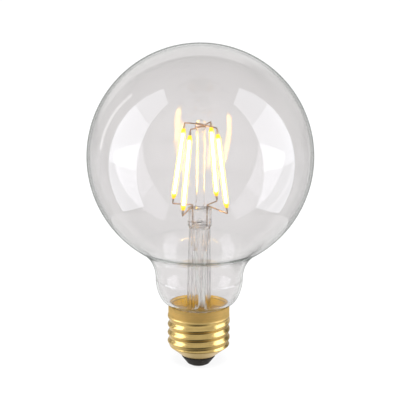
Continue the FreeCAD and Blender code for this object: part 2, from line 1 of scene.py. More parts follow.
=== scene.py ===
"""Dresses the globe bulb: clear blown glass, four lit filaments on a glass mount and a gold screw cap."""

import math

import bpy
from bpy.props import FloatProperty, FloatVectorProperty, IntProperty, PointerProperty
from mathutils import Matrix, Quaternion, Vector


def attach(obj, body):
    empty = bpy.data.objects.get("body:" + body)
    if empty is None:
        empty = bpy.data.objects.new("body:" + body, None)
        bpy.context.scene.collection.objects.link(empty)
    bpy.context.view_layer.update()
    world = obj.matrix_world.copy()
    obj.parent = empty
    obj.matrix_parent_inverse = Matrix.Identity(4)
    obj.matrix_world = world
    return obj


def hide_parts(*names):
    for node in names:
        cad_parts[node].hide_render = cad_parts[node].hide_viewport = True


bl_info = {
    "name": "Globe Bulb",
    "version": (1, 0, 0),
    "blender": (4, 5, 0),
    "location": "View3D > Sidebar > Globe Bulb",
    "description": "Builds a clear globe bulb with lit filaments over its packed solids",
    "category": "Add Mesh",
}

MM = 0.001
MERGE = 1e-6
# The room left between glass parts that meet, and the bend of the mount wires.
SEAM = 0.02 * MM
WIRE_BEND = 0.45 * MM
FILAMENTS = 4

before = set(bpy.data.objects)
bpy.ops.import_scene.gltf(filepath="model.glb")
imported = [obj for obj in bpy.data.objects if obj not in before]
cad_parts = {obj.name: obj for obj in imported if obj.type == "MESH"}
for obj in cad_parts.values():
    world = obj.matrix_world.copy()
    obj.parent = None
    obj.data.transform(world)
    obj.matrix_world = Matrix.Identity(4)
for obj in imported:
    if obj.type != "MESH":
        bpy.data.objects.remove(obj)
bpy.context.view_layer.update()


def length(name, description, millimetres):
    """A size in metres with its default given in millimetres."""
    return FloatProperty(name=name, description=description, default=millimetres * MM, min=0.0,
                         precision=5, subtype="DISTANCE", unit="LENGTH")


def angle(name, description, degrees):
    """An angle with its default given in degrees."""
    return FloatProperty(name=name, description=description, default=math.radians(degrees),
                         subtype="ANGLE", unit="ROTATION")


def colour(name, description, red, green, blue):
    """A linear colour."""
    return FloatVectorProperty(name=name, description=description, default=(red, green, blue), size=3,
                               min=0.0, max=1.0, subtype="COLOR")


def amount(name, description, default, top=1.0):
    """A plain number from nought up."""
    return FloatProperty(name=name, description=description, default=default, min=0.0, max=top)


def steps_round(description, default):
    """The number of steps in a full turn."""
    return IntProperty(name="Segments", description=description, default=default, min=24, max=256)


class GlassSizes(bpy.types.PropertyGroup):
    """Sizes of the blown envelope."""

    globe_radius: length("Globe radius", "Outside radius of the globe", 47.47)
    wall: length("Wall", "Thickness of the blown wall", 0.9)
    globe_level: length("Globe level", "Height of the globe's centre", 91.756)
    neck_level: length("Neck level", "Height of the narrowest ring of the neck", 38.897)
    neck_radius: length("Neck radius", "Outside radius of the neck", 18.35)
    fillet: length("Fillet", "Radius of the hollow between globe and neck", 15.0)
    barrel: length("Barrel", "Radius of the bulge under the neck", 17.5)
    barrel_turn: angle("Barrel turn", "Angle of the bulge under the neck", 27.0)
    corner: length("Corner", "Radius of the corner above the cap", 7.5)
    root: length("Root", "Radius of the hollow where the glass enters the cap", 1.2)
    spigot_radius: length("Spigot radius", "Outside radius of the glass in the cap", 11.95)
    seat_level: length("Seat level", "Height at which the corner turns into the root", 27.45)
    seal_level: length("Seal level", "Height of the seal to the stem", 21.22)
    ring_swell: length("Ring swell", "Extra glass inside where the globe turns into the neck", 0.22)
    ring_width: length("Ring width", "Reach of the extra glass to either side", 1.8)
    segments: steps_round("Steps round the glass", 160)


class CapSizes(bpy.types.PropertyGroup):
    """Sizes of the screw cap."""

    pitch: length("Pitch", "Rise of the thread in one turn", 3.629)
    crest_radius: length("Crest radius", "Outside radius of the thread", 13.18)
    groove: length("Groove", "Depth of the thread", 0.78)
    crest_level: length("Crest level", "Height of a crest on the +X side", 16.55)
    thread_end: angle("Thread end", "Turn along the groove at which it runs out under the collar", 255.0)
    trace_end: angle("Trace end", "Turn at which the last shallow trace of the thread ends", 414.0)
    trace_depth: amount("Trace depth", "Depth of that trace as a share of the groove", 0.3)
    mouth_level: length("Mouth level", "Height of the lower edge of the shell", 4.9)
    mouth_radius: length("Mouth radius", "Radius of the lower edge of the shell", 7.1)
    thread_foot: length("Thread foot", "Height at which the cone meets the thread", 9.7)
    collar_foot: length("Collar foot", "Height at which the thread runs out", 22.9)
    collar_radius: length("Collar radius", "Outside radius of the plain collar", 12.9)
    rim_level: length("Rim level", "Height of the rim", 27.2)
    sheet: length("Sheet", "Thickness of the rolled sheet", 0.3)
    segments: steps_round("Steps round the cap", 144)


class MountSizes(bpy.types.PropertyGroup):
    """Sizes of the stem, the rod and the wires."""

    stem_foot_radius: length("Stem foot radius", "Outside radius of the stem above the flare", 5.15)
    stem_top_radius: length("Stem top radius", "Outside radius of the stem under the press", 4.6)
    stem_wall: length("Stem wall", "Wall of the stem tube", 0.9)
    stem_top: length("Stem top", "Height of the stem's crown", 62.9)
    crown: length("Crown", "Thickness of the stem's crown", 2.2)
    press_top: length("Press top", "Height of the press", 69.7)
    press_width: length("Press width", "Width of the flat of the press", 8.2)
    press_depth: length("Press depth", "Depth of the press", 5.0)
    press_end: length("Press end", "Radius of the ends of the press", 3.6)
    vent_radius: length("Vent radius", "Radius of the pumping hole", 1.3)
    vent_level: length("Vent level", "Height of the pumping hole", 63.8)
    exhaust_radius: length("Exhaust radius", "Outside radius of the pumping tube", 1.5)
    exhaust_bore: length("Exhaust bore", "Inside radius of the pumping tube", 1.0)
    exhaust_tip: length("Exhaust tip", "Height of the sealed tip", 18.5)
    rod_radius: length("Rod radius", "Radius of the glass rod", 1.9)
    bead_radius: length("Bead radius", "Radius of the bead on the rod", 2.5)
    bead_level: length("Bead level", "Height of the middle of the bead", 105.076)
    wire_radius: length("Wire radius", "Radius of the mount wires", 0.27)
    wire_gap: length("Wire gap", "Room round a wire in the bead", 0.06)
    sleeve_radius: length("Sleeve radius", "Radius of the white sleeves", 0.6)


class FilamentSizes(bpy.types.PropertyGroup):
    """Sizes of the four filaments."""

    length: length("Length", "Length of the coating", 31.4)
    radius: length("Radius", "Radius of the coating", 1.05)
    core_radius: length("Core radius", "Radius of the lit core", 0.74)
    core_inset: length("Core inset", "Length of each end without a lit core", 2.0)
    tip_length: length("Tip length", "Length of the narrowed end", 1.6)
    tip_radius: length("Tip radius", "Radius of the narrowed end", 0.75)
    foot_level: length("Foot level", "Height of the lower ends", 71.6)
    foot_reach: length("Foot reach", "Distance of the lower ends from the axis", 13.2)
    top_reach: length("Top reach", "Distance of the upper ends from the axis", 8.3)
    first_bearing: angle("First bearing", "Bearing of the first filament from +X", 58.0)
    strip_width: length("Strip width", "Width of the pins", 1.0)
    strip_depth: length("Strip depth", "Thickness of the pins", 0.4)
    pin_reach: length("Pin reach", "Length of a pin outside the coating", 1.6)
    pin_inset: length("Pin inset", "Length of a pin inside the coating", 1.5)
    wire_stub: length("Wire stub", "Straight end of a wire at a pin", 0.9)


class Finishes(bpy.types.PropertyGroup):
    """Colours of the pieces."""

    glass: colour("Glass", "Tint of the blown glass", 0.885, 0.861, 0.866)
    mount_glass: colour("Mount glass", "Tint of the stem and the rod", 0.985, 0.98, 0.975)
    gold: colour("Gold", "Colour of the screw shell", 0.85, 0.605, 0.225)
    inner_gold: colour("Inner gold", "Colour of the inside of the screw shell", 0.95, 0.60, 0.03)
    # The inside's glow is painted light: an emission that stands in for the light gathering in the collar.
    inner_painted_glow_strength: amount("Inner light", "Light gathered inside the collar", 0.42)
    inner_painted_glow_colour: colour("Inner glow", "Colour of that light", 1.0, 0.5, 0.0)
    # The streaks are drawing marks and painted sheen: their light colour stands in for reflections.
    inner_streak_and_sheen: colour("Inner streak", "Colour of the streaks on that inside", 1.0, 0.78, 0.22)
    insulator: colour("Insulator", "Colour of the insulator", 0.0155, 0.0135, 0.011)
    contact: colour("Contact", "Colour of the contact", 0.62, 0.61, 0.58)
    wire: colour("Wire", "Colour of the mount wires", 0.58, 0.38, 0.24)
    sleeve: colour("Sleeve", "Colour of the sleeves on the leads", 0.95, 0.94, 0.92)
    core_glow: colour("Core glow", "Colour of the light of the filaments' cores", 1.0, 0.84, 0.34)
    core_strength: amount("Core strength", "Brightness of the cores", 24.0, 100.0)
    coat_glow: colour("Coat glow", "Colour of the light in the coating", 1.0, 0.66, 0.0)
    coat_strength: amount("Coat strength", "Brightness of the coating", 1.5, 10.0)
    coat_veil: amount("Coat veil", "Share of the core that shows through the coating", 0.25)
    tip_glow: colour("Tip glow", "Colour of the ends of the coating", 1.0, 0.57, 0.0)
    tip_strength: amount("Tip strength", "Brightness of the ends", 1.0, 10.0)


class StageSettings(bpy.types.PropertyGroup):
    """The camera, the lamps and the floor."""

    distance: length("Distance", "Distance of the camera from the bulb", 1200.0)
    camera_drop: angle("Camera drop", "Angle at which the camera looks down", 15.9)
    camera_roll: angle("Camera roll", "Roll of the camera", 0.56)
    aim_level: length("Aim level", "Height that the camera looks at", 72.9)
    aim_side: length("Aim side", "Sideways shift of the camera", 0.02)
    lens: amount("Lens", "Focal length on a 36 mm sensor, in millimetres", 258.0, 1000.0)
    box_distance: length("Box distance", "Distance of the softboxes to either side", 800.0)
    box_colour: colour("Softbox colour", "Colour of the softboxes", 0.905, 0.93, 1.0)
    box_front: length("Box front", "Reach of the softboxes towards the camera", 380.0)
    box_back_left: length("Left box back", "Reach of the left softboxes away from the camera", 170.0)
    box_back_right: length("Right box back", "Reach of the right softboxes away from the camera", 240.0)
    lower_foot: FloatProperty(
        name="Lower foot", description="Foot of the lower softboxes, from the globe's centre",
        default=-0.64, subtype="DISTANCE", unit="LENGTH")
    lower_height: length("Lower height", "Height of the lower softboxes", 1240.0)
    lower_power: amount("Lower power", "Watts of a lower softbox for a metre of width", 11.7, 1000.0)
    upper_height: length("Upper height", "Height of the softboxes above them", 840.0)
    upper_power: amount("Upper power", "Watts of an upper softbox for a metre of width", 4.9, 1000.0)
    strip_bearing: angle("Strip bearing", "Bearing of the strip light from the camera, to the left", 119.0)
    strip_distance: length("Strip distance", "Distance of the strip light", 900.0)
    strip_rise: length("Strip rise", "Height of its middle over the middle of the globe", 235.0)
    strip_width: length("Strip width", "Width of the strip light", 70.0)
    strip_height: length("Strip height", "Height of the strip light", 650.0)
    strip_power: amount("Strip power", "Power of the strip light, in watts", 0.17, 1000.0)
    fill_distance: length("Fill distance", "Distance of the fill light over the camera", 1000.0)
    fill_rise: angle("Fill rise", "Height of the fill light over the horizon", 50.0)
    fill_size: length("Fill size", "Width of the fill light", 600.0)
    fill_power: amount("Fill power", "Power of the fill light, in watts", 22.0, 1000.0)
    room: amount("Room", "Light from the dim room, for reflections", 0.12)
    room_left: amount("Room left", "Light from its left side", 0.26)
    front: amount("Front", "Light from the camera's side, for reflections", 0.55)
    backdrop: amount("Backdrop", "Light from the backdrop, for reflections", 0.35)
    crown: amount("Crown", "Light from high on the backdrop, for reflections", 0.9, 4.0)
    aside: amount("Aside", "White that the glass shows from the sides", 0.66)
    card_radius: length("Card radius", "Radius of the card under the bulb", 120.0)
    card_light: amount("Card light", "Light from the card", 0.75)
    card_dark: amount("Card dark", "Light from the dark parts of the card", 0.1)
    floor: colour("Floor", "Colour of the floor", 0.86, 0.86, 0.86)
    floor_share: amount("Floor share", "Share of the floor that is plain white to the camera", 0.86)
    floor_near: amount("Floor near", "Brightness of that white at the bulb", 1.03, 2.0)
    floor_far: amount("Floor far", "Brightness of that white far behind", 1.1, 2.0)


class BulbSettings(bpy.types.PropertyGroup):
    """Everything a user would change."""

    glass: PointerProperty(type=GlassSizes, name="Glass", description="Sizes of the envelope")
    cap: PointerProperty(type=CapSizes, name="Cap", description="Sizes of the cap")
    mount: PointerProperty(type=MountSizes, name="Mount", description="Sizes of the mount")
    filament: PointerProperty(type=FilamentSizes, name="Filaments", description="Sizes of the filaments")
    finish: PointerProperty(type=Finishes, name="Finishes", description="Colours of the pieces")
    stage: PointerProperty(type=StageSettings, name="Stage", description="Camera, lamps and floor")


def settings():
    """The settings in the open scene."""
    return bpy.context.scene.globe_bulb


def put_down():
    """Leaves edit mode and deselects everything."""
    if bpy.context.object and bpy.context.object.mode != "OBJECT":
        bpy.ops.object.mode_set(mode="OBJECT")
    bpy.ops.object.select_all(action="DESELECT")


def pick_up(piece):
    """Makes one piece the only selected and active object."""
    put_down()
    piece.select_set(True)
    bpy.context.view_layer.objects.active = piece


def arc(centre, radius, start, end, steps):
    """Profile points along an arc between two angles in degrees."""
    points = []
    for step in range(steps + 1):
        turn = math.radians(start + (end - start) * step / steps)
        out = centre[0] + radius * math.cos(turn)
        points.append(Vector((out, 0.0, centre[1] + radius * math.sin(turn))))
    return points


def run(first, last, steps):
    """Profile points along a straight run between two (radius, height) pairs."""
    start = Vector((first[0], 0.0, first[1]))
    end = Vector((last[0], 0.0, last[1]))
    return [start.lerp(end, step / steps) for step in range(steps + 1)]


def path(start, *legs):
    """Profile points along straight runs, each leg giving its end and its steps."""
    points = []
    for end, steps in legs:
        points += run(start, end, steps)
        start = end
    return points


def joined(*pieces):
    """One profile out of several, without the points they share."""
    points = []
    for piece in pieces:
        for point in piece:
            if not points or (point - points[-1]).length > MERGE:
                points.append(point)
    return points


def trace(name, points):
    """Draws a line of edges through the points and stays in edit mode."""
    put_down()
    bpy.ops.mesh.primitive_plane_add(size=MM)
    piece = bpy.context.object
    piece.name = name
    piece.data.name = name
    bpy.ops.object.mode_set(mode="EDIT")
    bpy.ops.mesh.merge(type="CENTER")
    bpy.ops.transform.translate(value=points[0])
    for before, after in zip(points, points[1:]):
        bpy.ops.mesh.extrude_vertices_move(TRANSFORM_OT_translate={"value": after - before})
    return piece


def merge_doubles():
    """Selects the whole mesh and merges its doubled points."""
    bpy.ops.mesh.select_all(action="SELECT")
    bpy.ops.mesh.remove_doubles(threshold=MERGE)


def lathe(name, profile, segments, closed=False):
    """Spins a profile about the lamp's axis; a closed profile returns to its first point."""
    piece = trace(name, profile + profile[:1] if closed else profile)
    merge_doubles()
    bpy.ops.mesh.spin(steps=segments, angle=math.tau, center=(0, 0, 0), axis=(0, 0, 1),
                      use_auto_merge=True)
    merge_doubles()
    bpy.ops.mesh.normals_make_consistent(inside=False)
    put_down()
    return piece


def smooth(piece, degrees):
    """Shades a piece smooth across edges flatter than an angle."""
    pick_up(piece)
    bpy.ops.object.shade_smooth_by_angle(angle=math.radians(degrees))
    put_down()
    return piece


def carve(piece, tool, operation):
    """Joins a tool to a piece or cuts it out, and puts the tool away."""
    pick_up(piece)
    bpy.ops.object.modifier_add(type="BOOLEAN")
    step = piece.modifiers[-1]
    step.operation = operation
    step.solver = "EXACT"
    step.object = tool
    bpy.ops.object.modifier_apply(modifier=step.name)
    pick_up(tool)
    bpy.ops.object.delete()
    put_down()


def place(piece, matrix):
    """Puts a piece in its place and leaves the place in its mesh."""
    piece.matrix_world = matrix
    pick_up(piece)
    bpy.ops.object.transform_apply(location=True, rotation=True, scale=True)
    put_down()
    return piece


def bend_wire(name, points, radius, bend=WIRE_BEND, sides=12):
    """Bends a round wire along the points, rounding its corners."""
    piece = trace(name, points)
    bpy.ops.mesh.select_all(action="DESELECT")
    bpy.ops.object.mode_set(mode="OBJECT")
    for vertex in piece.data.vertices:
        vertex.select = any((vertex.co - corner).length < MERGE for corner in points[1:-1])
    bpy.ops.object.mode_set(mode="EDIT")
    bpy.ops.mesh.bevel(offset=bend, segments=8, affect="VERTICES")
    bpy.ops.object.mode_set(mode="OBJECT")
    pick_up(piece)
    bpy.ops.object.convert(target="CURVE")
    line = bpy.context.object
    line.data.bevel_depth = radius
    line.data.bevel_resolution = sides // 2 - 1
    line.data.use_fill_caps = True
    bpy.ops.object.convert(target="MESH")
    wire = bpy.context.object
    wire.name = name
    bpy.ops.object.mode_set(mode="EDIT")
    merge_doubles()
    bpy.ops.mesh.normals_make_consistent(inside=False)
    put_down()
    return smooth(wire, 50)


def dress(piece, material, slot, *nodes):
    """Gives a piece its finish, sets it on the bulb and puts it in place of its solids."""
    if material:
        piece.data.materials.clear()
        piece.data.materials.append(material)
    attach(piece, "root")
    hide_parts(*nodes)
    return piece


def repaint(node, material):
    """Gives a solid that stays its better finish."""
    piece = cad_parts[node]
    piece.data.materials.clear()
    piece.data.materials.append(material)


class Tree:
    """Shader nodes under way and the links between them."""

    def __init__(self, tree):
        self.nodes = tree.nodes
        self.join = tree.links.new

    def add(self, kind, **values):
        """Adds a node with its own settings."""
        node = self.nodes.new(kind)
        for key, value in values.items():
            setattr(node, key, value)
        return node

    def fade(self, source, start, end, low=0.0, high=1.0):
        """A soft step from one value to another as the source goes from start to end."""
        step = self.add("ShaderNodeMapRange", interpolation_type="SMOOTHSTEP")
        for socket, value in (("From Min", start), ("From Max", end), ("To Min", low), ("To Max", high)):
            step.inputs[socket].default_value = value
        self.join(source, step.inputs["Value"])
        return step.outputs["Result"]

    def spread(self, source, low, high):
        """Maps a value from nought to one onto a range."""
        scale = self.add("ShaderNodeMapRange")
        scale.inputs["To Min"].default_value = low
        scale.inputs["To Max"].default_value = high
        self.join(source, scale.inputs["Value"])
        return scale.outputs["Result"]

    def math(self, operation, first, second=None):
        """Combines two values, either of which may be a plain number."""
        node = self.add("ShaderNodeMath", operation=operation)
        for socket, value in zip(node.inputs, (first, second)):
            if isinstance(value, (int, float)):
                socket.default_value = value
            elif value:
                self.join(value, socket)
        return node.outputs[0]

    def distance(self, vector, point):
        """How far a place is from a point."""
        span = self.add("ShaderNodeVectorMath", operation="DISTANCE")
        span.inputs[1].default_value = point
        self.join(vector, span.inputs[0])
        return span.outputs["Value"]

    def axes(self, vector):
        """The three parts of a vector."""
        parts = self.add("ShaderNodeSeparateXYZ")
        self.join(vector, parts.inputs["Vector"])
        return parts.outputs["X"], parts.outputs["Y"], parts.outputs["Z"]


class Finish(Tree):
    """A material under way."""

    def __init__(self, name):
        self.material = bpy.data.materials.new(name)
        self.material.use_nodes = True
        super().__init__(self.material.node_tree)
        self.shader = self.nodes["Principled BSDF"]
        self.output = self.nodes["Material Output"]

    def set(self, **values):
        """Gives the shader's sockets plain values, colours or links."""
        for key, value in values.items():
            socket = self.shader.inputs[key.replace("_", " ").title().replace("Ior", "IOR")]
            if isinstance(value, bpy.types.NodeSocket):
                self.join(value, socket)
            elif isinstance(value, float):
                socket.default_value = value
            else:
                socket.default_value = (*value, 1.0)

    def mix(self, share, other):
        """Mixes a share of another shader in and sends the mix to the output."""
        blend = self.add("ShaderNodeMixShader")
        if isinstance(share, float):
            blend.inputs["Fac"].default_value = share
        else:
            self.join(share, blend.inputs["Fac"])
        self.join(self.shader.outputs["BSDF"], blend.inputs[1])
        self.join(other, blend.inputs[2])
        self.join(blend.outputs["Shader"], self.output.inputs["Surface"])

    def place(self, stretch=(1.0, 1.0, 1.0)):
        """Object coordinates, stretched along the axes."""
        spot = self.add("ShaderNodeTexCoord")
        mapping = self.add("ShaderNodeMapping")
        mapping.inputs["Scale"].default_value = stretch
        self.join(spot.outputs["Object"], mapping.inputs["Vector"])
        return mapping.outputs["Vector"]

    def noise(self, vector, scale, detail, roughness):
        """Cloudy noise from nought to one."""
        cloud = self.add("ShaderNodeTexNoise")
        cloud.inputs["Scale"].default_value = scale
        cloud.inputs["Detail"].default_value = detail
        cloud.inputs["Roughness"].default_value = roughness
        self.join(vector, cloud.inputs["Vector"])
        return cloud.outputs["Fac"]

    def ramp(self, source, *stops):
        """Turns a value into a colour by stops of (place, colour)."""
        band = self.add("ShaderNodeValToRGB")
        elements = band.color_ramp.elements
        while len(elements) < len(stops):
            elements.new(0.5)
        for element, (spot, tint) in zip(elements, stops):
            element.position = spot
            element.color = (*tint, 1.0)
        self.join(source, band.inputs["Fac"])
        return band.outputs["Color"]

    def bump(self, source, strength, distance):
        """Raises and sinks the surface by a value."""
        relief = self.add("ShaderNodeBump")
        relief.inputs["Strength"].default_value = strength
        relief.inputs["Distance"].default_value = distance
        self.join(source, relief.inputs["Height"])
        self.join(relief.outputs["Normal"], self.shader.inputs["Normal"])


def shade(base, factor):
    """A colour made lighter or darker."""
    return tuple(min(1.0, part * factor) for part in base)


def let_light_in(finish, tint):
    """Lets shadow rays through a clear finish, so that the lamps reach what it holds."""
    light = finish.add("ShaderNodeLightPath").outputs
    clear = finish.add("ShaderNodeBsdfTransparent")
    clear.inputs["Color"].default_value = (*tint, 1.0)
    finish.mix(light["Is Shadow Ray"], clear.outputs["BSDF"])


def blown_glass():
    """Thin blown glass with painted shade on its rim, that greys and greens a little in its depth."""
    painted_rim_grey, shadow_tint = 0.74, 0.95
    rim_edge, rim_share = (0.8, 0.95), 0.8
    finish = Finish("blown_glass")
    finish.set(base_color=settings().finish.glass, roughness=0.0, ior=1.5, transmission_weight=1.0)
    shadow = finish.add("ShaderNodeLightPath").outputs["Is Shadow Ray"]
    facing = finish.add("ShaderNodeLayerWeight").outputs["Facing"]
    clear = finish.add("ShaderNodeBsdfTransparent")
    finish.join(finish.spread(shadow, painted_rim_grey, shadow_tint), clear.inputs["Color"])
    # Painted shade: where the glass is seen edge-on, a grey see-through is mixed in to darken its rim.
    rim = finish.fade(facing, *rim_edge, 0.0, rim_share)
    finish.mix(finish.math("MAXIMUM", shadow, rim), clear.outputs["BSDF"])
    depth = finish.add("ShaderNodeVolumeAbsorption")
    depth.inputs["Color"].default_value = (0.25, 0.38, 0.29, 1.0)
    depth.inputs["Density"].default_value = 80.0
    finish.join(depth.outputs["Volume"], finish.output.inputs["Volume"])
    return finish.material


def mount_glass():
    """The brighter glass inside: streaked along the stem, rippled where the press is pinched."""
    size = settings().mount
    press_foot = (size.stem_top - 0.5 * MM, size.stem_top + 0.5 * MM)
    press_head = (size.press_top - 0.1 * MM, size.press_top - 0.8 * MM)
    stem_head = (size.stem_top, size.stem_top - 2.0 * MM)
    finish = Finish("mount_glass")
    level = finish.axes(finish.place())[2]
    pinched = finish.math("MULTIPLY", finish.fade(level, *press_foot), finish.fade(level, *press_head))
    crinkle = finish.noise(finish.place(), scale=700.0, detail=3.0, roughness=0.6)
    ripples = finish.math("MULTIPLY", finish.spread(pinched, 0.0, 1.6), crinkle)
    drawn = finish.noise(finish.place((1100.0, 1100.0, 12.0)), scale=1.0, detail=2.0, roughness=0.5)
    streaks = finish.math("MULTIPLY", finish.fade(level, *stem_head), drawn)
    finish.bump(finish.math("ADD", ripples, streaks), strength=0.6, distance=0.8 * MM)
    finish.set(base_color=settings().finish.mount_glass, roughness=0.0, ior=1.58, transmission_weight=1.0)
    let_light_in(finish, tint=(0.98, 0.98, 0.98))
    return finish.material


def gold_sheet():
    """Gold coloured rolled sheet: a brushed collar in painted shade, a shiny thread and a soft patina."""
    gold = settings().finish.gold
    size = settings().cap
    collar = (size.collar_foot - size.pitch / 6, size.collar_foot + size.pitch / 12)
    finish = Finish("rolled_gold")
    patina = finish.noise(finish.place(), scale=160.0, detail=5.0, roughness=0.6)
    lines = finish.noise(finish.place((40.0, 40.0, 7000.0)), scale=1.0, detail=3.0, roughness=0.6)
    grain = finish.math("ADD", finish.spread(patina, 0.0, 0.5), finish.spread(lines, 0.0, 0.5))
    brushed = finish.fade(finish.axes(finish.place())[2], *collar)
    # Painted shade: the collar is painted a little darker, to tone down the highlights on its sides.
    grain_with_collar_shade = finish.math("SUBTRACT", grain, finish.spread(brushed, 0.0, 0.2))
    tone = finish.ramp(
        grain_with_collar_shade, (0.15, shade(gold, 0.72)), (0.45, shade(gold, 0.96)), (0.7, shade(gold, 1.1)))
    worn = finish.math("ADD", finish.spread(brushed, 0.2, 0.75), finish.spread(patina, 0.0, 0.1))
    finish.set(base_color=tone, roughness=worn, metallic=1.0)
    finish.bump(lines, strength=0.12, distance=0.04 * MM)
    return finish.material


def inner_gold():
    """The yellow inside of the shell: streaks with painted sheen, painted shade deep down, a painted glow.
    """
    look = settings().finish
    painted_shade_from, painted_shade_below = 23.5 * MM, 20.5 * MM
    finish = Finish("shell_inside")
    # Drawing marks that also paint sheen: their light streaks stand in for reflections up the wall.
    marks_and_sheen = finish.noise(finish.place((900.0, 900.0, 60.0)), scale=1.0, detail=3.0, roughness=0.6)
    # Painted shade: the colour darkens deep in the collar, where less light reaches.
    deep = finish.fade(finish.axes(finish.place())[2], painted_shade_from, painted_shade_below, 0.0, 0.7)
    tone = finish.ramp(
        finish.math("SUBTRACT", marks_and_sheen, deep),
        (0.05, shade(look.inner_gold, 0.1)), (0.35, shade(look.inner_gold, 0.75)),
        (0.5, shade(look.inner_gold, 1.0)), (0.68, shade(look.inner_streak_and_sheen, 1.0)))
    # The emission is a painted glow for the light gathered in the collar; the shell is no lamp.
    finish.set(base_color=tone, roughness=finish.spread(marks_and_sheen, 0.3, 0.5), metallic=0.15,
               specular_ior_level=0.2, emission_color=look.inner_painted_glow_colour, emission_strength=look.inner_painted_glow_strength)
    finish.bump(marks_and_sheen, strength=0.15, distance=0.06 * MM)
    return finish.material


def grained(name, base, cloud, tones, shine, relief, stretch=(1.0, 1.0, 1.0), **values):
    """A finish whose grain shows in its tone, its roughness and its relief.

    The cloud is the noise's scale, detail and roughness, each tone a place on it and a factor
    of the base, the shine a roughness or its range, the relief a strength and a depth.
    """
    finish = Finish(name)
    grain = finish.noise(finish.place(stretch), *cloud)
    tone = finish.ramp(grain, *((spot, shade(base, factor)) for spot, factor in tones))
    roughness = shine if isinstance(shine, float) else finish.spread(grain, *shine)
    finish.set(base_color=tone, roughness=roughness, **values)
    finish.bump(grain, *relief)
    return finish.material


def black_moulding():
    """Black moulded insulator with a fine grain."""
    return grained("moulded_black", settings().finish.insulator, cloud=(2600.0, 4.0, 0.6),
                   tones=((0.3, 0.7), (0.75, 1.7)), shine=(0.32, 0.55), relief=(0.35, 0.08 * MM),
                   specular_ior_level=0.16)


def dull_solder():
    """Soft soldered contact with scuffs."""
    return grained("soldered_contact", settings().finish.contact, cloud=(900.0, 6.0, 0.65),
                   tones=((0.3, 0.7), (0.7, 1.1)), shine=(0.25, 0.55), relief=(0.25, 0.08 * MM),
                   stretch=(1.0, 4.0, 1.0), metallic=1.0)


def drawn_wire():
    """Drawn wire, darkened in places by the sealing flame."""
    return grained("mount_wire", settings().finish.wire, cloud=(420.0, 4.0, 0.6),
                   tones=((0.35, 0.55), (0.65, 1.15)), shine=(0.25, 0.45), relief=(0.1, 0.03 * MM),
                   metallic=1.0)


def woven_sleeve():
    """White woven sleeve on the leads."""
    return grained("woven_sleeve", settings().finish.sleeve, cloud=(3800.0, 2.0, 0.5),
                   tones=((0.3, 0.85), (0.7, 1.1)), shine=0.7, relief=(0.4, 0.1 * MM),
                   stretch=(1.0, 1.0, 0.4), sheen_weight=0.2)


def plain_finish(name, base, roughness, scale, metallic=0.0, contrast=0.15):
    """A finish with a fine even grain, for the driver's parts and the filaments' metal."""
    return grained(name, base, cloud=(scale, 4.0, 0.55),
                   tones=((0.3, 1.0 - contrast), (0.7, 1.0 + contrast)),
                   shine=(roughness - 0.06, roughness + 0.06), relief=(0.2, 0.05 * MM), metallic=metallic)


def lit_core():
    """The row of lit chips in a filament, too bright to tell apart."""
    look = settings().finish
    finish = Finish("lit_core")
    finish.set(base_color=(1.0, 0.86, 0.5), roughness=0.5,
               emission_color=look.core_glow, emission_strength=look.core_strength)
    return finish.material


def glowing_coat(name, glow, strength, veil):
    """The yellow coating of a filament, glowing with the light that passes it."""
    finish = Finish(name)
    finish.set(base_color=(0.95, 0.62, 0.03), roughness=0.35,
               emission_color=glow, emission_strength=strength)
    finish.mix(veil, finish.add("ShaderNodeBsdfTransparent").outputs["BSDF"])
    return finish.material


def clear_adhesive():
    """Clear adhesive between the glass and the collar."""
    finish = Finish("clear_adhesive")
    cloud = finish.noise(finish.place(), scale=700.0, detail=3.0, roughness=0.5)
    finish.set(base_color=(1.0, 0.95, 0.78), roughness=finish.spread(cloud, 0.0, 0.12), ior=1.42,
               transmission_weight=1.0)
    let_light_in(finish, tint=(1.0, 0.97, 0.88))
    return finish.material


def filament_axis(index):
    """Foot, direction and bearing of a filament, counted round the lamp from the back right."""
    size = settings().filament
    bearing = size.first_bearing + index * math.tau / FILAMENTS
    out = Vector((math.cos(bearing), math.sin(bearing), 0.0))
    rise = math.sqrt(size.length ** 2 - (size.foot_reach - size.top_reach) ** 2)
    foot = out * size.foot_reach + Vector((0, 0, size.foot_level))
    top = out * size.top_reach + Vector((0, 0, size.foot_level + rise))
    return foot, (top - foot).normalized(), bearing


def filament_frame(index):
    """The matrix that stands a filament, modelled on +Z, in its place."""
    foot, along, bearing = filament_axis(index)
    side = Vector((-math.sin(bearing), math.cos(bearing), 0.0))
    face = along.cross(side)
    turn = Matrix((side, face, along)).transposed().to_4x4()
    return Matrix.Translation(foot) @ turn


def pin_end(index, at_top):
    """The end of a filament's pin and the corner of the wire welded to it."""
    size = settings().filament
    foot, along, _ = filament_axis(index)
    stub = size.pin_reach + size.wire_stub
    if at_top:
        top = foot + along * size.length
        return top + along * size.pin_reach, top + along * stub
    return foot - along * size.pin_reach, foot - along * stub


